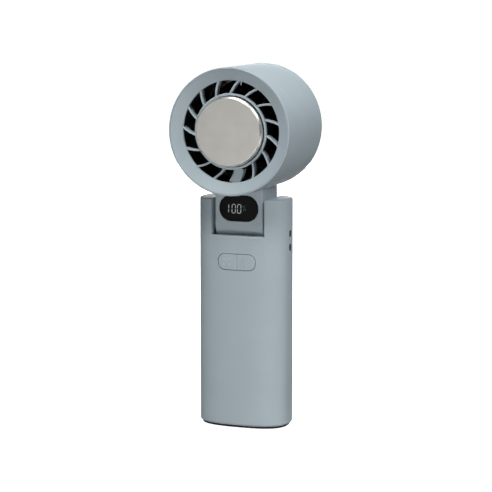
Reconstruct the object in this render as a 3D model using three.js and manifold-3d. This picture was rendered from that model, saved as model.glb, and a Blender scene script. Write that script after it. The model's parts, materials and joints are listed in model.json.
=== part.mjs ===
// Handheld folding turbo fan with a cooling disc.
// Millimetres, +Z up. The fan faces -Y. The origin is the middle of the underside of its foot.
// The handle stands on its base; the head folds backwards on a hinge between the two ears of the handle.

import * as THREE from "three";
import { mergeVertices } from "three/addons/utils/BufferGeometryUtils.js";
import Module from "manifold-3d";

const wasm = await Module();
wasm.setup();

// ---------------------------------------------------------------- driving dimensions

const HEAD_Z = 138.5; // height of the drum's axis
const HEAD_R = 29; // outer radius of the drum
const HEAD_HALF = 23.2; // half the depth of the drum
const BARREL_WALL = 1.8;
const RIM_FILLET = 0.7; // rounding of the drum's two outer edges

const GRILLE_R = 28.2; // outer radius of the dished front ring
const DISH_DEPTH = 2.9; // how far the ring's inner edge lies behind its rim
const DUCT_R = 23.1; // inner radius of the air duct, and of the ring's collar
const DUCT_WALL = 2;
const DUCT_FLARE = 0.8; // how much wider the duct is round the vanes
const COLLAR_DEPTH = 1.2; // depth of the ring's inner edge, where the black duct begins
const HUB_R = 17.3; // outer radius of the grille's hub ring
const HUB_WALL = 1.05;
const HUB_SET_BACK = 2.4; // hub ring face behind the rim plane
const HUB_DEPTH = 1.4; // depth of the hub ring, where the black cup begins
const CUP_R = 16.7; // outer radius of the cup behind the hub ring
const CUP_WALL = 0.65;

const VANE_COUNT = 15; // one of them is the wide strut
const VANE_FIRST_DEG = -86.9; // angle of the wide strut's outer end
const VANE_WIDTH = 1.15;
const VANE_DEPTH = 4.2;
const STRUT_WIDTH = 4.4;
const STRUT_SET_BACK = 1; // the strut's front behind the ring's inner edge

const PLATE_R = 15.9; // cooling disc
const PLATE_PROUD = 0.7; // its face in front of the rim plane
const PLATE_CHAMFER = 0.8;

const BLADE_COUNT = 13;
const BLADE_TIP_R = 22.5;
const IMPELLER_HUB_R = 9;
const IMPELLER_FRONT_Y = -6.2;
const IMPELLER_BACK_Y = 6.6;
const GUIDE_VANES = 7; // behind the impeller
const POD_R = 10.6; // motor housing
const POD_FRONT_Y = 9.2;
const POD_BACK_Y = 18;
const FLANGE_R = 26.8; // rear flange of the duct
const FLANGE_BACK_Y = 20.3;
const SHAFT_R = 1;

const HINGE_Z = 95.7; // height of the hinge axis, which runs along X through y = 0
const NECK_HALF_WIDTH = 11.65;
const NECK_R = 10; // half the depth of the neck, and the radius of its rounded foot
const NECK_WALL = 2;
const SLOT_HALF_WIDTH = 12.8; // half the gap between the ears
const SLOT_GAP = 0.4; // clearance of the rounded foot in its seat
const SLOT_LIP_Z = 90; // front edge of the seat
const PIN_R = 3;

const HANDLE_A = 21.6; // half width of the handle
const HANDLE_B = 13.2; // half depth of the handle
const HANDLE_POWER = 2.7; // exponent of its superellipse section
const HANDLE_BOTTOM = 1.3;
const HANDLE_TOP = 106.8;
const HANDLE_WALL = 1.7;
const CAVITY_TOP = 83.2;
const EAR_WALL_X = 14.6; // inner face of each ear's hollow

const LENS_WIDTH = 19;
const LENS_HEIGHT = 12.1;
const LENS_CORNER = 5.8;
const LENS_Z = 102.45;

const BUTTON_Z = 78;
const PILL_WIDTH = 18.5;
const PILL_HEIGHT = 7.8;
const PILL_CORNER = 3.5;
const BUTTON_GAP = 0.3;
const BOARD_Y = -8; // front face of the main board

const CELL_R = 9.2; // 18650 cells, side by side
const CELL_LENGTH = 65;
const CELL_X = 9.7;
const CELL_Z = 5.5;
const SHELF_Z = 70.9; // underside of the shelf above the cells

const LANYARD_Z = [84.2, 90.5];
const USB_Z = 77;

const ROUND_SEGMENTS = 48;
const MIDDLE_SEGMENTS = 32;
const SMALL_SEGMENTS = 16;
const HANDLE_POINTS = 48;

// ---------------------------------------------------------------- materials

const finish = (color, roughness, metalness = 0) =>
  new THREE.MeshStandardMaterial({ color, roughness, metalness });

const bodyPlastic = () => finish(0xa3b1b9, 0.55);
const blackPlastic = () => finish(0x141517, 0.45);
const blackGloss = () => finish(0x101112, 0.12);
const blackRubber = () => finish(0x1a1a1b, 0.8);
const satinMetal = () => finish(0xb4b1aa, 0.35, 1);
const rawAluminium = () => finish(0xb9bcbf, 0.45, 1);
const steel = () => finish(0x9a9c9e, 0.3, 1);
const bronze = () => finish(0x9a7a46, 0.4, 1);
const copper = () => finish(0xb5713d, 0.35, 1);
const greenBoard = () => finish(0x1f5a3a, 0.5);
const whiteCeramic = () => finish(0xe8e6e0, 0.6);
const cellWrap = () => finish(0x2f6fb0, 0.4);
const darkMagnet = () => finish(0x3a3b3d, 0.5, 0.6);

// ---------------------------------------------------------------- mesh tools

function signedVolume(positions, index) {
  const a = new THREE.Vector3();
  const b = new THREE.Vector3();
  const c = new THREE.Vector3();
  let total = 0;
  for (let i = 0; i < index.length; i += 3) {
    a.fromArray(positions, 3 * index[i]);
    b.fromArray(positions, 3 * index[i + 1]);
    c.fromArray(positions, 3 * index[i + 2]);
    total += a.dot(b.cross(c)) / 6;
  }
  return total;
}

// Welds a closed geometry, drops collapsed triangles and turns its faces outward.
function closed(geometry) {
  const bare = geometry.clone();
  bare.deleteAttribute("normal");
  bare.deleteAttribute("uv");
  const welded = mergeVertices(bare, 1e-4);
  const positions = welded.attributes.position.array;
  const source = welded.index.array;
  const index = [];
  for (let i = 0; i < source.length; i += 3) {
    const [a, b, c] = [source[i], source[i + 1], source[i + 2]];
    if (a !== b && b !== c && c !== a) index.push(a, b, c);
  }
  if (signedVolume(positions, index) < 0) index.reverse();
  const result = new THREE.BufferGeometry();
  result.setAttribute("position", new THREE.BufferAttribute(Float32Array.from(positions), 3));
  result.setIndex(index);
  return result;
}

function toSolid(geometry) {
  const mesh = closed(geometry);
  return new wasm.Manifold(
    new wasm.Mesh({
      numProp: 3,
      vertProperties: Float32Array.from(mesh.attributes.position.array),
      triVerts: Uint32Array.from(mesh.index.array),
    }),
  );
}

function fromSolid(solid) {
  const mesh = solid.getMesh();
  const geometry = new THREE.BufferGeometry();
  geometry.setAttribute("position", new THREE.BufferAttribute(Float32Array.from(mesh.vertProperties), 3));
  geometry.setIndex(Array.from(mesh.triVerts));
  return geometry;
}

const join = (first, ...others) =>
  fromSolid(others.reduce((solid, other) => solid.add(toSolid(other)), toSolid(first)));

const cut = (first, ...others) =>
  fromSolid(others.reduce((solid, other) => solid.subtract(toSolid(other)), toSolid(first)));

const common = (first, second) => fromSolid(toSolid(first).intersect(toSolid(second)));

// ---------------------------------------------------------------- shape tools

const radians = THREE.MathUtils.degToRad;

function box([x0, y0, z0], [x1, y1, z1]) {
  const geometry = new THREE.BoxGeometry(x1 - x0, y1 - y0, z1 - z0);
  return geometry.translate((x0 + x1) / 2, (y0 + y1) / 2, (z0 + z1) / 2);
}

// A solid of revolution about the Y axis from a closed outline of [radius, y] corners.
function turnedY(outline, segments = ROUND_SEGMENTS) {
  const points = [...outline, outline[0]].map(([r, y]) => new THREE.Vector2(r, y));
  return closed(new THREE.LatheGeometry(points, segments));
}

// The same about the X axis ([radius, x] corners), at height z.
const turnedX = (outline, z, segments = SMALL_SEGMENTS) =>
  turnedY(outline, segments).rotateZ(-Math.PI / 2).translate(0, 0, z);

// The same about the Z axis ([radius, z] corners), at x, y.
const turnedZ = (outline, x = 0, y = 0, segments = SMALL_SEGMENTS) =>
  turnedY(outline, segments).rotateX(Math.PI / 2).translate(x, y, 0);

const ring = (inner, outer, low, high) => [[inner, low], [outer, low], [outer, high], [inner, high]];

const disc = (radius, low, high) => ring(0, radius, low, high);

// A shape drawn in X and Z, as seen from the front, made solid between two Y planes.
function plate(shape, front, back, curveSegments = 5) {
  const geometry = new THREE.ExtrudeGeometry(shape, {
    depth: back - front,
    bevelEnabled: false,
    curveSegments,
  });
  return closed(geometry.rotateX(Math.PI / 2).translate(0, back, 0));
}

// A shape drawn in Y and Z, made solid between two X planes.
function prismX(shape, low, high, curveSegments = 12) {
  const geometry = new THREE.ExtrudeGeometry(shape, {
    depth: high - low,
    bevelEnabled: false,
    curveSegments,
  });
  const axes = new THREE.Matrix4().makeBasis(
    new THREE.Vector3(0, 1, 0),
    new THREE.Vector3(0, 0, 1),
    new THREE.Vector3(1, 0, 0),
  );
  return closed(geometry.applyMatrix4(axes).translate(low, 0, 0));
}

function roundedRectangle(width, height, corner, x = 0, z = 0) {
  const [w, h] = [width / 2 - corner, height / 2 - corner];
  const shape = new THREE.Shape();
  shape.absarc(x + w, z + h, corner, 0, Math.PI / 2);
  shape.absarc(x - w, z + h, corner, Math.PI / 2, Math.PI);
  shape.absarc(x - w, z - h, corner, Math.PI, 1.5 * Math.PI);
  shape.absarc(x + w, z - h, corner, 1.5 * Math.PI, 2 * Math.PI);
  shape.closePath();
  return shape;
}

// Joins equal rings of points into one solid with flat ends.
function loft(rings) {
  const count = rings[0].length;
  const positions = rings.flat().flatMap((point) => point.toArray());
  const index = [];
  for (let level = 0; level + 1 < rings.length; level += 1) {
    for (let i = 0; i < count; i += 1) {
      const [a, b] = [level * count + i, level * count + ((i + 1) % count)];
      index.push(a, b, b + count, a, b + count, a + count);
    }
  }
  for (const end of [0, rings.length - 1]) {
    const middle = rings[end].reduce((sum, point) => sum.add(point), new THREE.Vector3());
    positions.push(...middle.divideScalar(count).toArray());
    const centre = positions.length / 3 - 1;
    for (let i = 0; i < count; i += 1) {
      const [a, b] = [end * count + i, end * count + ((i + 1) % count)];
      index.push(...(end === 0 ? [centre, b, a] : [centre, a, b]));
    }
  }
  const geometry = new THREE.BufferGeometry();
  geometry.setAttribute("position", new THREE.Float32BufferAttribute(positions, 3));
  geometry.setIndex(index);
  return closed(geometry);
}

// One level of the handle's superellipse section, drawn in by inset.
function handleRing(z, inset) {
  const [a, b] = [HANDLE_A - inset, HANDLE_B - inset];
  const points = [];
  for (let i = 0; i < HANDLE_POINTS; i += 1) {
    const angle = (2 * Math.PI * i) / HANDLE_POINTS;
    const [c, s] = [Math.cos(angle), Math.sin(angle)];
    const x = a * Math.sign(c) * Math.abs(c) ** (2 / HANDLE_POWER);
    const y = b * Math.sign(s) * Math.abs(s) ** (2 / HANDLE_POWER);
    points.push(new THREE.Vector3(x, y, z));
  }
  return points;
}

// The handle's section stacked up from [z, inset] levels.
const handleStack = (...levels) => loft(levels.map(([z, inset]) => handleRing(z, inset)));

// A slotted pan-head screw along +Z, with the underside of its head at z = 0.
function screwShape(shankRadius, headRadius, headHeight, length) {
  const outline = [
    [0, -headHeight],
    [headRadius * 0.75, -headHeight],
    [headRadius, 0],
    [shankRadius, 0],
    [shankRadius * 0.7, length],
    [0, length],
  ];
  const slot = box([-headRadius * 2, -0.2, -headHeight - 1], [headRadius * 2, 0.2, -headHeight * 0.6]);
  return cut(turnedZ(outline, 0, 0, 10), slot);
}

function named(name, geometry, material) {
  const mesh = new THREE.Mesh(closed(geometry), material);
  mesh.name = name;
  return mesh;
}

// ---------------------------------------------------------------- front grille

const RIM_Y = -HEAD_HALF;
const DISH_Y = RIM_Y + DISH_DEPTH;
const HUB_FACE_Y = RIM_Y + HUB_SET_BACK;
const HUB_BACK_Y = HUB_FACE_Y + HUB_DEPTH;

// How far round a swept vane has turned at a radius, counted from its outer end.
function vaneSweepDeg(radius) {
  const inward = DUCT_R - radius;
  return 1.8 * inward - 0.027 * inward * inward;
}

// The outline of a swept strip in the X-Z plane, for vanes, struts and slots.
function sweptStrip(innerR, outerR, outerDeg, width, sweep, steps = 4) {
  const centre = [];
  for (let i = 0; i <= steps; i += 1) {
    const radius = innerR + ((outerR - innerR) * i) / steps;
    const angle = radians(outerDeg + sweep(radius));
    centre.push(new THREE.Vector2(radius * Math.cos(angle), radius * Math.sin(angle)));
  }
  const side = (sign) =>
    centre.map((point, i) => {
      const before = centre[Math.max(i - 1, 0)];
      const after = centre[Math.min(i + 1, steps)];
      const across = after.clone().sub(before).normalize().rotateAround(new THREE.Vector2(), Math.PI / 2);
      return point.clone().addScaledVector(across, (sign * width) / 2);
    });
  return new THREE.Shape([...side(1), ...side(-1).reverse()]);
}

function frontGrille() {
  const dishedRing = turnedY([
    [GRILLE_R, RIM_Y + 0.1],
    [DUCT_R + 0.25, DISH_Y - 0.1],
    [DUCT_R, DISH_Y + 0.1],
    [DUCT_R, DISH_Y + COLLAR_DEPTH],
    [DUCT_R + DUCT_WALL, DISH_Y + COLLAR_DEPTH],
    [GRILLE_R, RIM_Y + 2],
  ]);
  const hubRing = turnedY([
    [HUB_R - 0.2, HUB_FACE_Y],
    [HUB_R, HUB_FACE_Y + 0.2],
    [HUB_R, HUB_BACK_Y],
    [HUB_R - HUB_WALL, HUB_BACK_Y],
    [HUB_R - HUB_WALL, HUB_FACE_Y],
  ]);
  const vanes = [];
  for (let k = 0; k < VANE_COUNT; k += 1) {
    const outerDeg = VANE_FIRST_DEG + (360 * k) / VANE_COUNT;
    const width = k === 0 ? STRUT_WIDTH : VANE_WIDTH;
    const front = DISH_Y + (k === 0 ? STRUT_SET_BACK : 0.15);
    const strip = sweptStrip(CUP_R, DUCT_R + 0.5, outerDeg, width, vaneSweepDeg);
    vanes.push(plate(strip, front, DISH_Y + VANE_DEPTH));
  }
  const reach = turnedY(ring(CUP_R + 0.3, DUCT_R + 0.5, RIM_Y, 0));
  const spokes = vanes.map((vane) => common(vane, reach));
  return named("front_grille", join(dishedRing, hubRing, ...spokes), bodyPlastic());
}

// ---------------------------------------------------------------- cooling stack in the hub

const PLATE_BACK_Y = -19.8;
const MODULE_FRONT_Y = -19.5;
const MODULE_BACK_Y = -16.4;
const MODULE_HALF = 10; // half the width of the square cooling module
const SINK_FRONT_Y = -16.1;
const SINK_BACK_Y = -8.4;
const FIN_PITCH = 3;
const FIN_HALF = 0.4;

function coldPlate() {
  const front = RIM_Y - PLATE_PROUD;
  const outline = [
    [0, front],
    [PLATE_R - PLATE_CHAMFER, front],
    [PLATE_R, front + PLATE_CHAMFER],
    [PLATE_R, PLATE_BACK_Y],
    [0, PLATE_BACK_Y],
  ];
  return named("cold_plate", turnedY(outline), satinMetal());
}

// Holds the cooling module and the heat sink behind the grille's hub ring.
function coolingCup() {
  const wall = ring(CUP_R - CUP_WALL, CUP_R, HUB_BACK_Y + 0.3, SINK_BACK_Y - 2.1);
  return named("cooling_cup", turnedY(wall), blackPlastic());
}

function foamRing() {
  const foam = turnedY(disc(PLATE_R - 0.1, MODULE_FRONT_Y, MODULE_BACK_Y), MIDDLE_SEGMENTS);
  const reach = MODULE_HALF + 0.3;
  const window = box([-reach, MODULE_FRONT_Y - 1, -reach], [reach, MODULE_BACK_Y + 1, reach]);
  return named("foam_ring", cut(foam, window), blackRubber());
}

const peltierModule = () =>
  named(
    "peltier_module",
    box([-MODULE_HALF, MODULE_FRONT_Y, -MODULE_HALF], [MODULE_HALF, MODULE_BACK_Y, MODULE_HALF]),
    whiteCeramic(),
  );

function heatSink() {
  const base = turnedY(disc(PLATE_R - 0.1, SINK_FRONT_Y, SINK_FRONT_Y + 1.4), MIDDLE_SEGMENTS);
  const fins = [];
  for (let x = -4 * FIN_PITCH; x <= 4 * FIN_PITCH; x += FIN_PITCH) {
    const half = Math.sqrt((PLATE_R - 0.8) ** 2 - x * x);
    fins.push(box([x - FIN_HALF, SINK_FRONT_Y + 1, -half], [x + FIN_HALF, SINK_BACK_Y, half]));
  }
  return named("heat_sink", join(base, ...fins), rawAluminium());
}

// ---------------------------------------------------------------- impeller and motor

// One blade as aerofoil-like sections wrapped round the axis, steep at the hub and flat at the tip.
function blade(startDeg) {
  const steps = 4;
  const rootR = IMPELLER_HUB_R - 0.6;
  const section = [[-0.5, 0], [0, -0.6], [0.5, 0], [0, 0.5]];
  const rings = [];
  for (let i = 0; i <= steps; i += 1) {
    const radius = rootR + ((BLADE_TIP_R - rootR) * i) / steps;
    const pitch = radians(56 - (24 * i) / steps);
    const chord = 12.5 + (4.5 * i) / steps;
    rings.push(
      section.map(([along, thick]) => {
        const axial = along * chord * Math.sin(pitch) + thick * Math.cos(pitch);
        const around = along * chord * Math.cos(pitch) - thick * Math.sin(pitch);
        const angle = radians(startDeg) + around / radius;
        return new THREE.Vector3(radius * Math.cos(angle), axial + 0.4, radius * Math.sin(angle));
      }),
    );
  }
  return loft(rings);
}

function impeller() {
  const inner = IMPELLER_HUB_R - 0.8;
  const bossR = 2.4;
  const hub = turnedY(
    [
      [SHAFT_R + 0.04, IMPELLER_FRONT_Y],
      [6.5, IMPELLER_FRONT_Y],
      [IMPELLER_HUB_R, -4.6],
      [IMPELLER_HUB_R, IMPELLER_BACK_Y],
      [inner, IMPELLER_BACK_Y],
      [inner, -4],
      [7, -4.7],
      [bossR, -4.7],
      [bossR, -2.4],
      [SHAFT_R + 0.04, -2.4],
    ],
    MIDDLE_SEGMENTS,
  );
  const blades = [];
  for (let k = 0; k < BLADE_COUNT; k += 1) blades.push(blade((360 * k) / BLADE_COUNT));
  return named("impeller", join(hub, ...blades), blackPlastic());
}

function impellerShaft() {
  const [front, back] = [-6.8, 10.1];
  const tipR = SHAFT_R - 0.2;
  const outline = [
    [0, front],
    [tipR, front],
    [SHAFT_R, front + 0.2],
    [SHAFT_R, back - 0.2],
    [tipR, back],
    [0, back],
  ];
  return named("impeller_shaft", turnedY(outline, SMALL_SEGMENTS), steel());
}

const rotorCan = () =>
  named(
    "rotor_can",
    turnedY([[2.6, -2.1], [8, -2.1], [8, 6.3], [7.3, 6.3], [7.3, -1.3], [2.6, -1.3]], MIDDLE_SEGMENTS),
    steel(),
  );

const rotorMagnet = () =>
  named("rotor_magnet", turnedY(ring(6.5, 7.2, -1, 6), MIDDLE_SEGMENTS), darkMagnet());

// Nine wound poles round a sleeve.
function statorCore() {
  const poleCount = 9;
  const sleeve = turnedY(ring(3.3, 4, 0.2, 5.4), 3 * poleCount);
  const poles = [];
  for (let k = 0; k < poleCount; k += 1) {
    const arm = box([3.7, 1.4, -0.6], [5.6, 4.2, 0.6]);
    const shoe = box([5.4, 0.6, -1.5], [5.9, 5, 1.5]);
    const turn = (2 * Math.PI * k) / poleCount;
    poles.push(arm.rotateY(turn), shoe.rotateY(turn));
  }
  return named("stator_core", join(sleeve, ...poles), copper());
}

const bearing = (name, low) =>
  named(name, turnedY(ring(SHAFT_R + 0.05, 2.5, low, low + 2.1), SMALL_SEGMENTS), steel());

const shaftClip = () =>
  named("shaft_clip", turnedY(ring(SHAFT_R + 0.03, 2.2, 8.5, 8.9), SMALL_SEGMENTS), steel());

// Duct, guide vanes, motor plate and bearing tube in one piece.
function motorMount() {
  const front = DISH_Y + COLLAR_DEPTH + 0.3;
  const flareEnd = DISH_Y + VANE_DEPTH + 0.5;
  const duct = turnedY([
    [DUCT_R + DUCT_FLARE, front],
    [DUCT_R + DUCT_WALL, front],
    [DUCT_R + DUCT_WALL, POD_BACK_Y],
    [FLANGE_R, POD_BACK_Y],
    [FLANGE_R, FLANGE_BACK_Y],
    [DUCT_R, FLANGE_BACK_Y],
    [DUCT_R, flareEnd + 3],
    [DUCT_R + DUCT_FLARE, flareEnd],
  ]);
  const [tubeInner, tubeOuter] = [2.65, 3.15];
  const podInner = POD_R - 1;
  const podFloor = POD_FRONT_Y + 1.4;
  const pod = turnedY(
    [
      [tubeInner, 0],
      [tubeOuter, 0],
      [tubeOuter, POD_FRONT_Y],
      [POD_R, POD_FRONT_Y],
      [POD_R, POD_BACK_Y],
      [podInner, POD_BACK_Y],
      [podInner, podFloor],
      [tubeInner, podFloor],
    ],
    MIDDLE_SEGMENTS,
  );
  const sweep = (radius) => 1.4 * (DUCT_R - radius);
  const guides = [];
  for (let k = 0; k < GUIDE_VANES; k += 1) {
    const strip = sweptStrip(podInner + 0.4, DUCT_R + 0.4, (360 * k) / GUIDE_VANES, 1.2, sweep);
    guides.push(plate(strip, POD_FRONT_Y + 0.8, POD_BACK_Y - 1));
  }
  const screwHoles = rearScrewPlaces().map(([x, z]) => turnedY(disc(0.9, 16, 21), 12).translate(x, 0, z));
  return named("motor_mount", cut(join(duct, pod, ...guides), ...screwHoles), blackPlastic());
}

function driverBoard() {
  const board = turnedY(ring(2.4, 9.2, 11.2, 12.2), MIDDLE_SEGMENTS);
  const parts = [
    box([3.4, 12.1, -1.6], [6.4, 13.3, 1.6]),
    box([-6.6, 12.1, -1], [-4.4, 13, 1]),
    box([-1.2, 12.1, 4.6], [1.2, 13, 6.8]),
    box([-1.5, 12.1, -7], [1.5, 13.8, -4.6]),
  ];
  return named("driver_board", join(board, ...parts), greenBoard());
}

// ---------------------------------------------------------------- barrel and rear grille

const SCREW_RING_R = 25.9;

function rearScrewPlaces() {
  return [90, 210, 330].map((deg) => [
    SCREW_RING_R * Math.cos(radians(deg)),
    SCREW_RING_R * Math.sin(radians(deg)),
  ]);
}

const NECK_SCREW_Y = 5.5;

function headBarrel() {
  const inner = HEAD_R - BARREL_WALL;
  const seat = HEAD_HALF - 2.6;
  const step = RIM_Y + 3;
  const edge = (end, sign) =>
    [0, 45, 90].map((deg) => [
      HEAD_R - RIM_FILLET * (1 - Math.sin(radians(deg))),
      end - sign * RIM_FILLET * (1 - Math.cos(radians(deg))),
    ]);
  const sleeve = turnedY([
    ...edge(-HEAD_HALF, -1),
    ...edge(HEAD_HALF, 1).reverse(),
    [GRILLE_R - 0.1, HEAD_HALF],
    [GRILLE_R - 0.1, seat],
    [inner, seat],
    [inner, step],
    [GRILLE_R + 0.06, step],
    [GRILLE_R + 0.06, RIM_Y],
  ]);
  const holes = [-NECK_SCREW_Y, NECK_SCREW_Y].map((y) => turnedZ(disc(1.15, -31, -25), 0, y));
  const wireHole = turnedZ(disc(2, -31, -25));
  return named("head_barrel", cut(sleeve, wireHole, ...holes), bodyPlastic());
}

// A disc with two rows of swept intake slots.
function rearGrille() {
  const shape = new THREE.Shape();
  shape.absarc(0, 0, GRILLE_R - 0.35, 0, 2 * Math.PI);
  const row = (count, inner, outer, width, offset) => {
    for (let k = 0; k < count; k += 1) {
      const deg = offset + (360 * k) / count;
      const strip = sweptStrip(inner, outer, deg, width, (r) => 2.2 * (outer - r), 2);
      shape.holes.push(new THREE.Path(strip.getPoints()));
    }
  };
  row(14, 9.6, 15.4, 2.3, 0);
  row(20, 17.2, 23.4, 3.3, 4);
  const cover = plate(shape, HEAD_HALF - 2.3, HEAD_HALF - 0.15, ROUND_SEGMENTS / 2);
  const sinks = rearScrewPlaces().map(([x, z]) =>
    turnedY([[0, 20], [0.9, 20], [0.9, 21.9], [1.45, 21.9], [1.45, 24], [0, 24]], SMALL_SEGMENTS)
      .translate(x, 0, z),
  );
  return named("rear_grille", cut(cover, ...sinks), bodyPlastic());
}

function rearScrews() {
  return rearScrewPlaces().map(([x, z], i) => {
    const mesh = named(`rear_screw_${i + 1}`, screwShape(0.7, 1.25, 0.8, 4.6), steel());
    mesh.rotation.x = Math.PI / 2;
    mesh.position.set(x, 22.05, z);
    return mesh;
  });
}

// ---------------------------------------------------------------- neck

const SADDLE_R = HEAD_R + 0.15;

// The neck's side outline: flat front and back over a half-round foot.
function neckSide(radius, top) {
  const shape = new THREE.Shape();
  shape.moveTo(radius, top);
  shape.lineTo(-radius, top);
  shape.lineTo(-radius, HINGE_Z);
  shape.absarc(0, HINGE_Z, radius, Math.PI, 2 * Math.PI);
  shape.closePath();
  return shape;
}

function neckHousing() {
  const inner = NECK_R - NECK_WALL;
  const [innerX, top] = [NECK_HALF_WIDTH - 1.8, 107.3];
  const block = prismX(neckSide(NECK_R, 114), -NECK_HALF_WIDTH, NECK_HALF_WIDTH, 16);
  const saddle = turnedY(disc(SADDLE_R, -30, 30), 96).translate(0, 0, HEAD_Z);
  const hollow = prismX(neckSide(inner, top), -innerX, innerX, 16);
  const rearWindow = box([-9.7, inner - 0.5, HINGE_Z - 0.3], [9.7, NECK_R + 1, top]);
  const lensPocket = plate(
    roundedRectangle(LENS_WIDTH + 0.2, LENS_HEIGHT + 0.2, LENS_CORNER + 0.1, 0, LENS_Z),
    -NECK_R - 1,
    -NECK_R + 1.2,
  );
  const ledWindow = box([-8, -NECK_R, 97.8], [8, -inner + 1, 106.6]);
  const bushBore = turnedX(disc(4.6, -20, 20), HINGE_Z);
  const wireHole = turnedZ(disc(2, 105, 112));
  const screwHoles = [-NECK_SCREW_Y, NECK_SCREW_Y].map((y) => turnedZ(disc(1, 105, 112), 0, y));
  const cuts = [saddle, hollow, rearWindow, lensPocket, ledWindow, bushBore, wireHole, ...screwHoles];
  return named("neck_housing", cut(block, ...cuts), bodyPlastic());
}

const neckRearCover = () =>
  named("neck_rear_cover", box([-9.4, NECK_R - 1.8, HINGE_Z], [9.4, NECK_R, 107]), bodyPlastic());

function displayLens() {
  const outline = roundedRectangle(LENS_WIDTH, LENS_HEIGHT, LENS_CORNER, 0, LENS_Z);
  return named("display_lens", plate(outline, -NECK_R + 0.05, -NECK_R + 1.1), blackGloss());
}

const displayModule = () =>
  named("display_module", box([-7.6, -NECK_R + 1.4, 98.2], [7.6, -NECK_R + 2.35, 106.2]), whiteCeramic());

const displayBoard = () =>
  named("display_board", box([-9.3, -NECK_R + 2.4, 97], [9.3, -NECK_R + 3.4, 107]), greenBoard());

function neckScrews() {
  return [["neck_screw_front", -NECK_SCREW_Y], ["neck_screw_rear", NECK_SCREW_Y]].map(([name, y]) => {
    const mesh = named(name, screwShape(0.9, 1.9, 1.1, 4.2), steel());
    mesh.rotation.x = Math.PI;
    mesh.position.set(0, y, HEAD_Z - HEAD_R + BARREL_WALL + 0.2);
    return mesh;
  });
}

// ---------------------------------------------------------------- hinge

const hingeBush = (name, side) => {
  const outline = ring(PIN_R + 0.08, 4.5, 9.95, 11.6);
  return named(name, turnedX(outline.map(([r, x]) => [r, side * x]), HINGE_Z), bronze());
};

// A hollow pin with a flange inside the ear; the leads pass through it.
const hingePin = (name, side) => {
  const outline = [[1.6, 10.2], [PIN_R, 10.2], [PIN_R, 14.9], [4.5, 14.9], [4.5, 15.7], [1.6, 15.7]];
  return named(name, turnedX(outline.map(([r, x]) => [r, side * x]), HINGE_Z), steel());
};

const frictionWasher = (name, side) => {
  const outline = ring(PIN_R + 0.3, 6, 11.85, 12.6);
  return named(name, turnedX(outline.map(([r, x]) => [r, side * x]), HINGE_Z), bronze());
};

// ---------------------------------------------------------------- handle

// The space that the neck needs: a round seat, open above, with a level floor behind.
function forkSlot() {
  const radius = NECK_R + SLOT_GAP;
  const start = Math.asin((HINGE_Z - SLOT_LIP_Z) / radius);
  const shape = new THREE.Shape();
  shape.moveTo(-20, SLOT_LIP_Z);
  shape.lineTo(-radius * Math.cos(start), SLOT_LIP_Z);
  shape.absarc(0, HINGE_Z, radius, Math.PI + start, 1.5 * Math.PI);
  shape.lineTo(20, HINGE_Z - radius);
  shape.lineTo(20, 120);
  shape.lineTo(-20, 120);
  shape.closePath();
  return prismX(shape, -SLOT_HALF_WIDTH, SLOT_HALF_WIDTH, 12);
}

const handleOuter = () =>
  handleStack(
    [HANDLE_BOTTOM, 1.5],
    [HANDLE_BOTTOM + 0.2, 0.8],
    [HANDLE_BOTTOM + 0.7, 0.2],
    [HANDLE_BOTTOM + 1.5, 0],
    [HANDLE_TOP - 0.8, 0],
    [HANDLE_TOP - 0.25, 0.25],
    [HANDLE_TOP, 0.8],
  );

const buttonPill = (grow = 0) =>
  roundedRectangle(PILL_WIDTH + 2 * grow, PILL_HEIGHT + 2 * grow, PILL_CORNER + grow, 0, BUTTON_Z);

function handleShell() {
  const cavity = handleStack([HANDLE_BOTTOM - 1, HANDLE_WALL], [CAVITY_TOP, HANDLE_WALL]);
  const earCore = handleStack([CAVITY_TOP - 4, HANDLE_WALL], [HANDLE_TOP - 2, HANDLE_WALL]);
  const ears = [-1, 1].map((side) => {
    const [near, far] = [side * EAR_WALL_X, side * 25];
    return common(earCore, box([Math.min(near, far), -20, 70], [Math.max(near, far), 20, 120]));
  });
  const pinBore = turnedX(disc(PIN_R + 0.15, -17, 17), HINGE_Z);
  const pill = plate(buttonPill(), -20, -5);
  const usbHole = prismX(roundedRectangle(3.8, 9.6, 1.85, 0, USB_Z), -25, -17, 3);
  const lanyardHoles = LANYARD_Z.map((z) => prismX(lanyardHole(z, 0), 17, 25, 2));
  const cuts = [cavity, ...ears, forkSlot(), pinBore, pill, usbHole, ...lanyardHoles];
  return named("handle_shell", cut(handleOuter(), ...cuts), bodyPlastic());
}

const lanyardHole = (z, inset) => roundedRectangle(2.8 - 2 * inset, 3.4 - 2 * inset, 0.8 - inset, 0, z);

// A cup behind the two strap holes, with a short sleeve through each of them.
function lanyardPocket() {
  const [front, back] = [HANDLE_A - 0.25, 19.4];
  const shell = box([16.6, -2.4, 81.4], [back, 2.4, 93.4]);
  const hollow = box([17.5, -1.6, 82.4], [back - 0.6, 1.6, 92.4]);
  const sleeves = LANYARD_Z.map((z) => prismX(lanyardHole(z, 0.12), back - 0.5, front, 2));
  const ways = LANYARD_Z.map((z) => prismX(lanyardHole(z, 0.4), 18, 25, 2));
  return named("lanyard_pocket", cut(join(shell, ...sleeves), hollow, ...ways), blackPlastic());
}

const POST_Y = 7.5; // screw posts in front of and behind the gap between the cells
const FRAME_TOP = 82.4;

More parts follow.
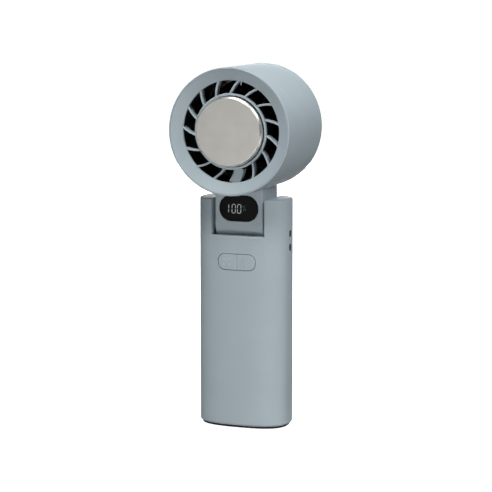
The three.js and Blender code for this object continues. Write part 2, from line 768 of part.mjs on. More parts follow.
function innerFrame() {
  const inset = HANDLE_WALL + 0.4;
  const floor = handleStack([3.9, inset], [5.1, inset]);
  const shelf = handleStack([SHELF_Z, inset], [SHELF_Z + 1.2, inset]);
  const back = box([-7.5, 9.6, 4.5], [7.5, 10.8, FRAME_TOP]);
  const ribs = [-10, 10].map((x) => box([x - 0.5, BOARD_Y + 1.1, SHELF_Z], [x + 0.5, 10, FRAME_TOP]));
  const tie = box([-10.4, 8.6, 79], [10.4, 9.9, FRAME_TOP]);
  const posts = [-POST_Y, POST_Y].map((y) => turnedZ(disc(1.8, 4.5, 10), 0, y));
  const bores = [-POST_Y, POST_Y].map((y) => turnedZ(disc(0.95, 3, 9), 0, y));
  const frame = join(floor, back, shelf, ...ribs, tie, ...posts);
  return named("inner_frame", cut(frame, ...bores), blackPlastic());
}

function batteryCell(name, side) {
  const top = CELL_Z + CELL_LENGTH;
  const outline = [
    [0, CELL_Z],
    [CELL_R - 0.5, CELL_Z],
    [CELL_R, CELL_Z + 0.5],
    [CELL_R, top - 1.5],
    [CELL_R - 0.5, top - 1],
    [3, top - 1],
    [3, top],
    [0, top],
  ];
  return named(name, turnedZ(outline, side * CELL_X, 0, MIDDLE_SEGMENTS), cellWrap());
}

function mainBoard() {
  const board = box([-15.5, BOARD_Y, 72.6], [15.5, BOARD_Y + 1, FRAME_TOP]);
  const chips = [
    box([-4, BOARD_Y + 0.9, 74.5], [1, BOARD_Y + 2, 79.5]),
    box([3, BOARD_Y + 0.9, 73.6], [7, BOARD_Y + 2.8, 77.6]),
    box([11, BOARD_Y - 1, 74], [14, BOARD_Y + 0.1, 81]),
  ];
  return named("main_board", join(board, ...chips), greenBoard());
}

const KEY_X = 4.6; // centre of each half of the pill
const KEY_TRAVEL_GAP = 0.5;

function tactSwitch(name, side) {
  const front = BOARD_Y - 0.05;
  const body = box([-1.8, front - 0.9, -1.8], [1.8, front, 1.8]);
  const plunger = turnedY(disc(0.9, front - 1.4, front - 0.5), SMALL_SEGMENTS);
  return named(name, join(body, plunger).translate(side * KEY_X, 0, BUTTON_Z), blackPlastic());
}

// One half of the pill: its face follows the handle's curve, a flange behind holds it in.
function pushButton(name, side) {
  const half = box([side < 0 ? -20 : BUTTON_GAP / 2, -20, 60], [side < 0 ? -BUTTON_GAP / 2 : 20, 0, 100]);
  const face = common(common(plate(buttonPill(-0.25), -20, -10), handleOuter()), half);
  const flange = common(plate(buttonPill(0.8), -10.6, -10), half);
  const stemBack = BOARD_Y - 1.45 - KEY_TRAVEL_GAP;
  const stem = turnedY(disc(1.1, -10.3, stemBack), SMALL_SEGMENTS).translate(side * KEY_X, 0, BUTTON_Z);
  return named(name, join(face, flange, stem), bodyPlastic());
}

// ---------------------------------------------------------------- charging socket

const chargeBoard = () =>
  named("charge_board", box([-19.2, 1.75, 72.5], [-10.8, 2.75, 81.8]), greenBoard());

// A receptacle facing -X, with its tongue joined at the back.
function usbPort() {
  const [mouth, back] = [-20.5, -13.4];
  const shell = prismX(roundedRectangle(3.2, 8.9, 1.5, 0, USB_Z), mouth, back, 3);
  const hollow = prismX(roundedRectangle(2.6, 8.3, 1.25, 0, USB_Z), mouth - 1, back - 1, 3);
  const tongue = box([mouth + 0.6, -0.35, USB_Z - 3.3], [back - 0.5, 0.35, USB_Z + 3.3]);
  return named("usb_c_port", join(cut(shell, hollow), tongue), steel());
}

// ---------------------------------------------------------------- base

const PAD_Z = 0.95; // depth of the recess for the foot pad

function baseCap() {
  const step = HANDLE_BOTTOM - 0.05;
  const plugInset = HANDLE_WALL + 0.25;
  const cap = handleStack([0.3, 1.3], [0.5, 1.1], [step, 1], [step + 0.01, plugInset], [3.6, plugInset]);
  const recess = handleStack([-1, 2.6], [PAD_Z, 2.6]);
  const holes = [-POST_Y, POST_Y].map((y) =>
    turnedZ([[0, 0.5], [1.75, 0.5], [1.75, 2.1], [0.95, 2.1], [0.95, 5], [0, 5]], 0, y),
  );
  return named("base_cap", cut(cap, recess, ...holes), blackPlastic());
}

function baseScrews() {
  return [["base_screw_front", -POST_Y], ["base_screw_rear", POST_Y]].map(([name, y]) => {
    const mesh = named(name, screwShape(0.85, 1.6, 0.9, 6), steel());
    mesh.position.set(0, y, 2.05);
    return mesh;
  });
}

const footPad = () =>
  named("foot_pad", handleStack([0, 3], [0.25, 2.75], [PAD_Z - 0.1, 2.75]), blackRubber());

// ---------------------------------------------------------------- assembly

const head = new THREE.Group();
head.position.z = HEAD_Z;
head.add(
  headBarrel(),
  frontGrille(),
  coldPlate(),
  coolingCup(),
  foamRing(),
  peltierModule(),
  heatSink(),
  impeller(),
  impellerShaft(),
  rotorCan(),
  rotorMagnet(),
  statorCore(),
  bearing("front_bearing", 0.2),
  bearing("rear_bearing", 5.8),
  shaftClip(),
  motorMount(),
  driverBoard(),
  rearGrille(),
  ...rearScrews(),
);

const neck = new THREE.Group();
neck.add(
  neckHousing(),
  neckRearCover(),
  displayLens(),
  displayModule(),
  displayBoard(),
  ...neckScrews(),
  hingeBush("hinge_bush_left", -1),
  hingeBush("hinge_bush_right", 1),
);

const handle = new THREE.Group();
handle.add(
  handleShell(),
  hingePin("hinge_pin_left", -1),
  hingePin("hinge_pin_right", 1),
  frictionWasher("friction_washer_left", -1),
  frictionWasher("friction_washer_right", 1),
  lanyardPocket(),
  innerFrame(),
  batteryCell("battery_cell_left", -1),
  batteryCell("battery_cell_right", 1),
  mainBoard(),
  tactSwitch("fan_switch", -1),
  tactSwitch("cooling_switch", 1),
  pushButton("fan_button", -1),
  pushButton("cooling_button", 1),
  chargeBoard(),
  usbPort(),
  baseCap(),
  ...baseScrews(),
  footPad(),
);

const fan = new THREE.Group();
fan.add(head, neck, handle);

export default fan;
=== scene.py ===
# Looks of the handheld folding fan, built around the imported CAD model. Metres, +Z up, the fan faces -Y.

import json
import math

import bmesh
import bpy
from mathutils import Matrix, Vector


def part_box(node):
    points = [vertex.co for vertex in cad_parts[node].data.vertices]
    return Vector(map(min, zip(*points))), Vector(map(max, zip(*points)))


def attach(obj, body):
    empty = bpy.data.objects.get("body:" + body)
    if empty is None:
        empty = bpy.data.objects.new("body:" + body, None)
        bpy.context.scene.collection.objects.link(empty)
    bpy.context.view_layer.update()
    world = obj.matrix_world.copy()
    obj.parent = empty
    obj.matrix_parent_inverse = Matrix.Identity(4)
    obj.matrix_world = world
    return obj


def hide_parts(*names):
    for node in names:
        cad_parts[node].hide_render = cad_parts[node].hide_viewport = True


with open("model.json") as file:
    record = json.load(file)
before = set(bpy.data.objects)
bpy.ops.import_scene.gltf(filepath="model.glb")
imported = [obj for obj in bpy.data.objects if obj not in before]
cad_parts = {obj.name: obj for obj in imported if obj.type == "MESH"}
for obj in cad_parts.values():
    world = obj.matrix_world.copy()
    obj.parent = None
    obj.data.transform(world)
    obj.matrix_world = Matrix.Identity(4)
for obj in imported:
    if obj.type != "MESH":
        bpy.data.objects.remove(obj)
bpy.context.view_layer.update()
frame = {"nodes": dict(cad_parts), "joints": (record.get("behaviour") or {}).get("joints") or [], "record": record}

MM = 0.001
PLATE_STEPS = 8  # points in a rounded corner
ROUND = 256  # segments round the drum
SHARP = math.radians(35)

# ---------------- places from the frame

barrel_low, barrel_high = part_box("head_barrel")
_, grille_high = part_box("front_grille")
disc_low, disc_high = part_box("cold_plate")
_, impeller_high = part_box("impeller")
mount_low, mount_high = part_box("motor_mount")
rear_low, rear_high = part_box("rear_grille")
neck_low, neck_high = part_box("neck_housing")
cover_low, cover_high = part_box("neck_rear_cover")
lens_low, lens_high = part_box("display_lens")
shell_low, shell_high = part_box("handle_shell")
cap_low, cap_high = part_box("base_cap")
pad_low, pad_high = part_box("foot_pad")
fan_key_low, fan_key_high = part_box("fan_button")
usb_low, usb_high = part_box("usb_c_port")
hinge = Vector(next(j for j in frame["joints"] if j["name"] == "head_fold")["pos_m"])

HEAD_Z = (barrel_low.z + barrel_high.z) / 2  # height of the drum's axis
HEAD_R = (barrel_high.x - barrel_low.x) / 2
FRONT_Y = barrel_low.y
REAR_Y = barrel_high.y

GRILLE_R = grille_high.x
DISH_Y = FRONT_Y + 2.9 * MM
DUCT_R = 23.1 * MM
DUCT_WALL = 2 * MM
DUCT_FLARE = 0.8 * MM
HUB_R = 17.3 * MM
HUB_WALL = 1.05 * MM
HUB_FACE_Y = FRONT_Y + 2.4 * MM
HUB_BACK_Y = HUB_FACE_Y + 1.4 * MM
CUP_R = 16.7 * MM
VANE_COUNT = 15
VANE_FIRST = -86.9
VANE_WIDTH = 1.05 * MM
VANE_DEPTH = 4.2 * MM
COLLAR_DEPTH = 1.2 * MM
STRUT_WIDTH = 4.4 * MM
BLADE_COUNT = 13

HANDLE_A = shell_high.x
HANDLE_B = shell_high.y
HANDLE_POWER = 2.7
HANDLE_WALL = 1.7 * MM
SLOT_HALF = 12.8 * MM
SEAT_R = (neck_high.y - neck_low.y) / 2 + 0.4 * MM
LIP_Z = 90 * MM
CAVITY_TOP = 83.2 * MM
BUTTON_Z = (fan_key_low.z + fan_key_high.z) / 2
KEY_FACE_TOP = 3.65 * MM  # half height of the keys' faces
KEY_OPENING = (18.5 * MM, 7.8 * MM, 3.5 * MM)  # width, height and corner
KEY_X = 4.6 * MM  # centre of each half of the opening
SIGN_X = 4.9 * MM
USB_Z = (usb_low.z + usb_high.z) / 2
LENS_WIDTH = lens_high.x - lens_low.x
LENS_HEIGHT = lens_high.z - lens_low.z
LENS_Z = (lens_low.z + lens_high.z) / 2
LENS_CORNER = 5.8 * MM
BUSH_BORE_R = 4.6 * MM  # hole in the neck for its hinge bushes
PIN_BORE_R = 3.15 * MM  # holes in the ears for the hinge pins
EAR_HOLLOW_X = 14.6 * MM  # inner face of each ear's hollow
POD_R = 10.6 * MM  # motor housing
POD_FRONT_Y = 9.2 * MM
POD_BACK_Y = 18 * MM
FLANGE_R = 26.8 * MM  # rear flange of the duct
BLADE_HUB_R = 9 * MM
GUIDE_COUNT = 7  # vanes behind the impeller

# ---------------- mesh tools


def add_object(name, data):
    obj = bpy.data.objects.new(name, data)
    bpy.context.scene.collection.objects.link(obj)
    return obj


def make(name, vertices, faces):
    """A mesh object with welded points and faces turned outward."""
    mesh = bpy.data.meshes.new(name)
    mesh.from_pydata([tuple(v) for v in vertices], [], faces)
    return clean(add_object(name, mesh))


def clean(obj, gap=1e-7):
    bm = bmesh.new()
    bm.from_mesh(obj.data)
    bmesh.ops.remove_doubles(bm, verts=bm.verts, dist=gap)
    bmesh.ops.dissolve_degenerate(bm, edges=bm.edges, dist=gap)
    bmesh.ops.recalc_face_normals(bm, faces=bm.faces)
    bm.to_mesh(obj.data)
    bm.free()
    return obj


def smooth(obj, angle=SHARP):
    for polygon in obj.data.polygons:
        polygon.use_smooth = True
    obj.data.set_sharp_from_angle(angle=angle)
    return obj


def merge(name, *objects):
    """One object from several, each keeping its own closed surface."""
    bm = bmesh.new()
    for obj in objects:
        bm.from_mesh(obj.data)
        bpy.data.objects.remove(obj)
    mesh = bpy.data.meshes.new(name)
    bm.to_mesh(mesh)
    bm.free()
    return add_object(name, mesh)


def bake_modifiers(obj):
    graph = bpy.context.evaluated_depsgraph_get()
    mesh = bpy.data.meshes.new_from_object(obj.evaluated_get(graph))
    obj.modifiers.clear()
    obj.data = mesh
    return obj


def carve(obj, *cutters, operation="DIFFERENCE"):
    for cutter in cutters:
        modifier = obj.modifiers.new("carve", "BOOLEAN")
        modifier.operation = operation
        modifier.solver = "EXACT"
        modifier.object = cutter
        bake_modifiers(obj)
        bpy.data.objects.remove(cutter)
    return clean(obj)


def soften(obj, width, segments=3, angle=SHARP):
    """Rounds every edge sharper than the angle."""
    bevel = obj.modifiers.new("soften", "BEVEL")
    bevel.width = width
    bevel.segments = segments
    bevel.limit_method = "ANGLE"
    bevel.angle_limit = angle
    bevel.use_clamp_overlap = True
    bake_modifiers(obj)
    return smooth(obj)


def rounded(corners, steps=PLATE_STEPS):
    """A closed outline of (a, b, radius) corners as points."""
    points = []
    for i, (a, b, radius) in enumerate(corners):
        corner = Vector((a, b))
        before = Vector(corners[i - 1][:2]) - corner
        after = Vector(corners[(i + 1) % len(corners)][:2]) - corner
        if radius <= 0:
            points.append(corner)
            continue
        half = before.angle(after) / 2
        reach = min(radius / math.tan(half), 0.49 * before.length, 0.49 * after.length)
        radius = reach * math.tan(half)
        start = corner + before.normalized() * reach
        end = corner + after.normalized() * reach
        centre = corner + (before.normalized() + after.normalized()).normalized() * (radius / math.sin(half))
        first = math.atan2(start.y - centre.y, start.x - centre.x)
        last = math.atan2(end.y - centre.y, end.x - centre.x)
        sweep = (last - first + math.pi) % (2 * math.pi) - math.pi
        for k in range(steps + 1):
            turn = first + sweep * k / steps
            points.append(centre + radius * Vector((math.cos(turn), math.sin(turn))))
    return points


def quarter_round(radius, degrees):
    """How far a rounded edge is drawn in and down at each of its angles, as (in, down)."""
    turns = [math.radians(a) for a in degrees]
    return [(radius * (1 - math.cos(t)), radius * (1 - math.sin(t))) for t in turns]


def rounded_rectangle(width, height, corner, x=0, z=0, steps=PLATE_STEPS):
    w, h = width / 2, height / 2
    corners = [(x - w, z - h, corner), (x + w, z - h, corner), (x + w, z + h, corner), (x - w, z + h, corner)]
    return rounded(corners, steps)


def lathe(name, outline, segments=ROUND, x=0, z=HEAD_Z, axis="Y"):
    """A closed (radius, along) outline turned about an axis along Y at x and z, or along X at z."""
    spot = {
        "X": lambda across, along, up: (along, across, z + up),
        "Y": lambda across, along, up: (x + across, along, z + up),
    }[axis]
    count = len(outline)
    vertices, faces = [], []
    for k in range(segments):
        turn = 2 * math.pi * k / segments
        vertices += [spot(r * math.sin(turn), along, r * math.cos(turn)) for r, along in outline]
    for k in range(segments):
        for i in range(count):
            a, b = k * count + i, k * count + (i + 1) % count
            shift = count if k + 1 < segments else count - segments * count
            faces.append((a, b, b + shift, a + shift))
    return make(name, vertices, faces)


def loft(name, rings):
    """Joins equal rings of points into a solid with fanned ends."""
    count = len(rings[0])
    vertices = [tuple(p) for ring in rings for p in ring]
    faces = []
    for level in range(len(rings) - 1):
        for i in range(count):
            a, b = level * count + i, level * count + (i + 1) % count
            faces.append((a, b, b + count, a + count))
    for end in (0, len(rings) - 1):
        middle = sum((Vector(p) for p in rings[end]), Vector()) / count
        vertices.append(tuple(middle))
        for i in range(count):
            faces.append((len(vertices) - 1, end * count + i, end * count + (i + 1) % count))
    return make(name, vertices, faces)


def band(count):
    """Faces between two rings of count points, one listed after the other."""
    return [(i, (i + 1) % count, count + (i + 1) % count, count + i) for i in range(count)]


def prism(name, outline, low, high, axis):
    """A flat outline made solid. Its points are (y, z) along X, (x, z) along Y and (x, y) along Z."""
    place = {
        "X": lambda p, t: (t, p[0], p[1]),
        "Y": lambda p, t: (p[0], t, p[1]),
        "Z": lambda p, t: (p[0], p[1], t),
    }[axis]
    count = len(outline)
    vertices = [place(p, t) for t in (low, high) for p in outline]
    faces = [tuple(range(count)), tuple(range(2 * count - 1, count - 1, -1))]
    return make(name, vertices, faces + band(count))


def block(name, low, high):
    outline = [(low[0], low[1]), (high[0], low[1]), (high[0], high[1]), (low[0], high[1])]
    return prism(name, outline, low[2], high[2], "Z")


def pierced_plate(name, outer, holes, front, back, edge):
    """A plate in X and Z with holes and rounded edges, between two Y planes."""
    curve = bpy.data.curves.new(name, "CURVE")
    curve.dimensions = "2D"
    curve.fill_mode = "BOTH"
    curve.extrude = (back - front) / 2 - edge
    curve.bevel_depth = edge
    curve.bevel_resolution = 2
    curve.offset = -edge
    for points in [outer, *[list(reversed(hole)) for hole in holes]]:
        spline = curve.splines.new("POLY")
        spline.points.add(len(points) - 1)
        for point, (a, b) in zip(spline.points, points):
            point.co = (a, b, 0, 1)
        spline.use_cyclic_u = True
    flat = add_object(name + "_outline", curve)
    graph = bpy.context.evaluated_depsgraph_get()
    mesh = bpy.data.meshes.new_from_object(flat.evaluated_get(graph))
    bpy.data.objects.remove(flat)
    middle = (front + back) / 2
    for vertex in mesh.vertices:
        a, b, depth = vertex.co
        vertex.co = (a, middle - depth, b)
    return smooth(clean(add_object(name, mesh), 1e-6))


def circle(radius, x=0, z=0, segments=64):
    turns = [2 * math.pi * k / segments for k in range(segments)]
    return [(x + radius * math.cos(t), z + radius * math.sin(t)) for t in turns]


def place(obj, body, slot, nodes, *materials):
    """Puts a piece on its body and slot, in place of CAD nodes, in the slot's look if none is given."""
    for material in materials or [SLOT_LOOKS[slot]]:
        obj.data.materials.append(material)
    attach(obj, body)
    if nodes:
        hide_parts(*nodes)
    return obj


# ---------------- materials


class Nodes:
    """A new material and short calls for its nodes."""

    def __init__(self, name):
        self.material = bpy.data.materials.new(name)
        self.material.use_nodes = True
        self.tree = self.material.node_tree
        self.shader = self.tree.nodes["Principled BSDF"]
        self.place = self.add("ShaderNodeTexCoord").outputs["Object"]

    def add(self, kind, **settings):
        node = self.tree.nodes.new(kind)
        for key, value in settings.items():
            if key in node.inputs:
                node.inputs[key].default_value = value
            else:
                setattr(node, key, value)
        return node

    def link(self, output, target):
        self.tree.links.new(output, target)

    def noise(self, size, detail=2.0, stretch=(1, 1, 1)):
        """Noise whose features are about size metres across."""
        mapping = self.add("ShaderNodeMapping")
        mapping.inputs["Scale"].default_value = [s / size for s in stretch]
        self.link(self.place, mapping.inputs["Vector"])
        node = self.add("ShaderNodeTexNoise", Scale=1.0, Detail=detail)
        self.link(mapping.outputs["Vector"], node.inputs["Vector"])
        return node.outputs["Fac"]

    def spread(self, value, low, high, first=0.3, last=0.7):
        node = self.add("ShaderNodeMapRange")
        self.link(value, node.inputs["Value"])
        for key, number in (("From Min", first), ("From Max", last), ("To Min", low), ("To Max", high)):
            node.inputs[key].default_value = number
        return node.outputs["Result"]

    def mix(self, share, first, second):
        node = self.add("ShaderNodeMix", data_type="RGBA")
        self.link(share, node.inputs["Factor"])
        for socket, colour in (("A", first), ("B", second)):
            target = next(i for i in node.inputs if i.name == socket and i.type == "RGBA")
            if isinstance(colour, tuple):
                target.default_value = (*colour, 1)
            else:
                self.link(colour, target)
        return next(o for o in node.outputs if o.type == "RGBA")

    def bump(self, height, depth, strength=1.0, under=None):
        node = self.add("ShaderNodeBump", Strength=strength, Distance=depth)
        self.link(height, node.inputs["Height"])
        if under is not None:
            self.link(under, node.inputs["Normal"])
        return node.outputs["Normal"]

    def edges(self, radius):
        """1 on edges and 0 elsewhere."""
        bevel = self.add("ShaderNodeBevel", samples=4)
        bevel.inputs["Radius"].default_value = radius
        geometry = self.add("ShaderNodeNewGeometry")
        dot = self.add("ShaderNodeVectorMath", operation="DOT_PRODUCT")
        self.link(bevel.outputs["Normal"], dot.inputs[0])
        self.link(geometry.outputs["Normal"], dot.inputs[1])
        return self.spread(dot.outputs["Value"], 1.0, 0.0, 0.90, 0.995)

    def finish(self, colour, roughness, normal=None, metallic=0.0, **sockets):
        shader = self.shader
        if isinstance(colour, tuple):
            shader.inputs["Base Color"].default_value = (*colour, 1)
        else:
            self.link(colour, shader.inputs["Base Color"])
        self.link(roughness, shader.inputs["Roughness"])
        if normal is not None:
            self.link(normal, shader.inputs["Normal"])
        shader.inputs["Metallic"].default_value = metallic
        for key, value in sockets.items():
            shader.inputs[key.replace("_", " ")].default_value = value
        return self.material


def scaled(colour, factor):
    return tuple(min(1.0, c * factor) for c in colour)


def moulded(name, colour, roughness, grain=0.00022, depth=0.000012, worn=1.10, **sockets):
    """Moulded plastic: fine spark-eroded grain, faint mottling, and edges painted paler as a highlight."""
    n = Nodes(name)
    mottled = n.mix(n.spread(n.noise(0.014, 3), 0, 1), scaled(colour, 0.975), scaled(colour, 1.025))
    # paler edges: a painted highlight that the edge mask lays on the colour
    painted_edge_highlight = n.edges(0.0003)
    tinted = n.mix(n.spread(painted_edge_highlight, 0, 0.6, 0, 1), mottled, scaled(colour, worn))
    normal = n.bump(n.noise(grain, 2), depth, 0.5)
    normal = n.bump(n.noise(0.006, 2), 0.00003, 0.15, normal)
    rough = n.spread(n.noise(0.0035, 4), roughness - 0.05, roughness + 0.05)
    return n.finish(tinted, rough, normal, **sockets)


def brushed(name, colour, roughness, grain=0.00015, depth=0.000008, stretch=(1, 1, 1), metallic=1.0):
    """Metal with a fine tooth, faint cloudiness, and edges painted brighter as a highlight."""
    n = Nodes(name)
    cloudy = n.mix(n.spread(n.noise(0.008, 3), 0, 1), scaled(colour, 0.96), scaled(colour, 1.04))
    # brighter edges: a painted highlight laid on the colour by the edge mask
    tinted = n.mix(n.spread(n.edges(0.0003), 0, 0.7, 0, 1), cloudy, scaled(colour, 1.15))
    normal = n.bump(n.noise(grain, 2, stretch), depth, 0.4)
    rough = n.spread(n.noise(0.002, 3), roughness - 0.05, roughness + 0.06)
    return n.finish(tinted, rough, normal, metallic=metallic)


def turned_metal(name, colour, roughness):
    """Bright metal cut on a lathe, with fine rings about the drum's axis."""
    n = Nodes(name)
    centred = n.add("ShaderNodeMapping")
    centred.inputs["Location"].default_value = (0, 0, -HEAD_Z)
    n.link(n.place, centred.inputs["Vector"])
    rings = n.add("ShaderNodeTexWave", wave_type="RINGS", rings_direction="Y", Scale=9000.0, Distortion=0.4)
    n.link(centred.outputs["Vector"], rings.inputs["Vector"])
    normal = n.bump(rings.outputs["Fac"], 0.000003, 0.4)
    rough = n.spread(n.noise(0.002, 3), roughness - 0.04, roughness + 0.06)
    cloudy = n.mix(n.spread(n.noise(0.006, 2), 0, 1), scaled(colour, 0.97), scaled(colour, 1.03))
    return n.finish(cloudy, rough, normal, metallic=1.0)


def gloss_black(name, colour, roughness):
    """Polished dark window with faint smears."""
    n = Nodes(name)
    smears = n.noise(0.004, 4, (1, 1, 0.4))
    tinted = n.mix(n.spread(smears, 0, 1), scaled(colour, 0.85), scaled(colour, 1.2))
    rough = n.spread(smears, roughness, roughness + 0.08)
    normal = n.bump(n.noise(0.003, 2), 0.000004, 0.1)
    return n.finish(tinted, rough, normal, Specular_IOR_Level=0.03)


def glowing(name, colour, strength):
    """Lit display segments, with a faint random unevenness."""
    n = Nodes(name)
    tinted = n.mix(n.spread(n.noise(0.0006, 2), 0, 1), scaled(colour, 0.8), colour)
    n.link(tinted, n.shader.inputs["Emission Color"])
    n.shader.inputs["Emission Strength"].default_value = strength
    return n.finish(tinted, n.spread(n.noise(0.001, 2), 0.35, 0.5))


SLOT_LOOKS = {}


def slot_look(kind, slot, *settings, **more):
    SLOT_LOOKS[slot] = kind(slot, *settings, **more)


BODY = (0.352, 0.418, 0.452)
slot_look(moulded, "body_plastic", BODY, 0.52, Specular_IOR_Level=0.42)
grille_plastic = moulded("grille_plastic", scaled(BODY, 1.03), 0.48, Specular_IOR_Level=0.45)
# a paler copy of the body plastic for the raised key icons: a painted highlight for their relief catching the
# light
icon_highlight_plastic = moulded("icon_highlight_plastic", scaled(BODY, 1.14), 0.42)
# black plastic, blades and rubber get a stronger painted edge highlight
slot_look(moulded, "black_plastic", (0.010, 0.010, 0.011), 0.5, worn=1.6, Specular_IOR_Level=0.2)
blade_plastic = moulded("blade_plastic", (0.008, 0.008, 0.009), 0.24, grain=0.0004, depth=0.000006, worn=1.5)
slot_look(moulded, "black_rubber", (0.014, 0.014, 0.014), 0.75, grain=0.0003, depth=0.00003, worn=1.3)
slot_look(brushed, "satin_metal", (0.50, 0.49, 0.455), 0.5, metallic=0.7)
cut_metal = turned_metal("cut_metal", (0.93, 0.92, 0.88), 0.3)
slot_look(brushed, "raw_aluminium", (0.6, 0.61, 0.62), 0.4, stretch=(1, 0.05, 1))
slot_look(brushed, "steel", (0.5, 0.5, 0.51), 0.3, stretch=(1, 0.1, 1))
slot_look(brushed, "bronze", (0.42, 0.29, 0.13), 0.45)
slot_look(brushed, "copper_winding", (0.55, 0.22, 0.09), 0.35, grain=0.0003, depth=0.00005, stretch=(1, 6, 1))
slot_look(brushed, "magnet", (0.05, 0.05, 0.055), 0.55, grain=0.0003, metallic=0.4)
slot_look(gloss_black, "display_black", (0.0035, 0.0035, 0.0038), 0.16)
slot_look(moulded, "circuit_board", (0.02, 0.13, 0.06), 0.3, grain=0.0012, depth=0.00003)
slot_look(moulded, "white_ceramic", (0.75, 0.74, 0.7), 0.6)
slot_look(moulded, "cell_wrap", (0.03, 0.12, 0.36), 0.3, grain=0.002, depth=0.00002)
digit_glow = glowing("digit_glow", (0.30, 0.31, 0.32), 0.7)
sign_glow = glowing("sign_glow", (0.015, 0.05, 0.02), 0.6)


def dress_cad_nodes():
    """Every CAD node that stays gets its slot's material, welded points and smooth round faces."""
    for row in frame["record"]["subparts"]:
        obj = frame["nodes"][row["node"]]
        obj.data.materials.clear()
        obj.data.materials.append(SLOT_LOOKS[row["material_slot"]])
        for polygon in obj.data.polygons:
            polygon.use_smooth = True
        weld = obj.modifiers.new("weld", "WELD")
        weld.merge_threshold = 1e-6
        bevel = obj.modifiers.new("soften", "BEVEL")
        bevel.width = 0.12 * MM
        bevel.segments = 2
        bevel.limit_method = "ANGLE"
        bevel.angle_limit = SHARP
        normals = obj.modifiers.new("normals", "WEIGHTED_NORMAL")
        normals.weight = 80


# ---------------- head


def swept_point(radius, outer_deg, sweep):
    turn = math.radians(outer_deg + sweep(radius))
    return Vector((radius * math.cos(turn), radius * math.sin(turn)))


def swept_frame(radius, outer_deg, sweep):
    """A point on a swept line, and the direction square to the line there."""
    here = swept_point(radius, outer_deg, sweep)
    ahead = swept_point(radius + 0.02 * MM, outer_deg, sweep) - here
    return here, Vector((-ahead.y, ahead.x)).normalized()


def vane_sweep(radius):
    """Degrees that a vane has turned at a radius, counted from its outer end."""
    inward = (DUCT_R - radius) / MM
    return 1.8 * inward - 0.027 * inward * inward


def swept_bar(name, inner, outer, outer_deg, sweep, section, steps=10):
    """A bar along a swept line from the hub outward. The section is (across, y) points."""
    rings = []
    for i in range(steps + 1):
        here, across = swept_frame(inner + (outer - inner) * i / steps, outer_deg, sweep)
        rings.append([(here.x + across.x * a, y, HEAD_Z + here.y + across.y * a) for a, y in section])
    return loft(name, rings)


def head_barrel():
    inner = HEAD_R - 1.8 * MM
    edge = 0.75 * MM
    outline = rounded(
        [
            (HEAD_R, FRONT_Y, edge),
            (HEAD_R, REAR_Y, edge),
            (GRILLE_R - 0.1 * MM, REAR_Y, 0.15 * MM),
            (GRILLE_R - 0.1 * MM, REAR_Y - 2.6 * MM, 0),
            (inner, REAR_Y - 2.6 * MM, 0),
            (inner, FRONT_Y + 3 * MM, 0),
            (GRILLE_R + 0.05 * MM, FRONT_Y + 3 * MM, 0),
            (GRILLE_R + 0.05 * MM, FRONT_Y, 0.05 * MM),
        ]
    )
    place(smooth(lathe("drum", outline)), "head", "body_plastic", ["head_barrel"])


def front_grille():
    corners = [
        (GRILLE_R, FRONT_Y + 0.12 * MM, 0.1 * MM),
        (DUCT_R, DISH_Y, 0.28 * MM),
        (DUCT_R, DISH_Y + COLLAR_DEPTH, 0.1 * MM),
        (DUCT_R + DUCT_WALL, DISH_Y + COLLAR_DEPTH, 0.1 * MM),
        (GRILLE_R, FRONT_Y + 2 * MM, 0.2 * MM),
    ]
    ring = lathe("dished_ring", rounded(corners))
    corners = [
        (HUB_R, HUB_FACE_Y, 0.35 * MM),
        (HUB_R, HUB_BACK_Y, 0.1 * MM),
        (HUB_R - HUB_WALL, HUB_BACK_Y, 0.1 * MM),
        (HUB_R - HUB_WALL, HUB_FACE_Y, 0.2 * MM),
    ]
    hub = lathe("hub_ring", rounded(corners))
    half, front, back = VANE_WIDTH / 2, DISH_Y + 0.1 * MM, DISH_Y + VANE_DEPTH
    thin, blunt, sharp = 0.55 * half, 0.4 * MM, 0.1 * MM
    vane = rounded([(half, front, blunt), (thin, back, sharp), (-thin, back, sharp), (-half, front, blunt)])
    half, rib, front = STRUT_WIDTH / 2, 0.55 * MM, DISH_Y + 0.55 * MM
    floor = front + 0.7 * MM
    strut = rounded(
        [
            (half, front, 0.2 * MM),
            (half, back, 0.1 * MM),
            (-half, back, 0.1 * MM),
            (-half, front, 0.2 * MM),
            (rib - half, front, 0.2 * MM),
            (rib - half, floor, 0.15 * MM),
            (half - rib, floor, 0.15 * MM),
            (half - rib, front, 0.2 * MM),
        ]
    )
    near, far = CUP_R + 0.3 * MM, DUCT_R + 0.5 * MM
    bars = []
    for k in range(VANE_COUNT):
        section = strut if k == 0 else vane
        outer_deg = VANE_FIRST + 360 * k / VANE_COUNT
        bars.append(swept_bar(f"vane_{k}", near, far, outer_deg, vane_sweep, section))
    grille = smooth(merge("grille", ring, hub, *bars))
    place(grille, "head", "body_plastic", ["front_grille"], grille_plastic)


def cooling_cup():
    (low, high), wall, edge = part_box("cooling_cup"), 0.65 * MM, 0.15 * MM
    inner = CUP_R - wall
    outline = [(CUP_R, low.y, edge), (CUP_R, high.y, edge), (inner, high.y, edge), (inner, low.y, edge)]
    place(smooth(lathe("cup", rounded(outline))), "head", "black_plastic", ["cooling_cup"])


def cooling_disc():
    radius, front, back = disc_high.x, disc_low.y, disc_high.y
    chamfer = 0.75 * MM
    outline = rounded(
        [
            (0, front, 0),
            (radius - chamfer, front, 0.12 * MM),
            (radius, front + chamfer, 0.12 * MM),
            (radius, back, 0.2 * MM),
            (0, back, 0),
        ],
        4,
    )
    disc = smooth(lathe("cooling_disc", outline), math.radians(25))
    place(disc, "head", "satin_metal", ["cold_plate"], SLOT_LOOKS["satin_metal"], cut_metal)
    for polygon in disc.data.polygons:
        middle = polygon.center
        out = math.hypot(middle.x, middle.z - HEAD_Z)
        if out > radius - chamfer - 0.05 * MM:
            polygon.material_index = 1


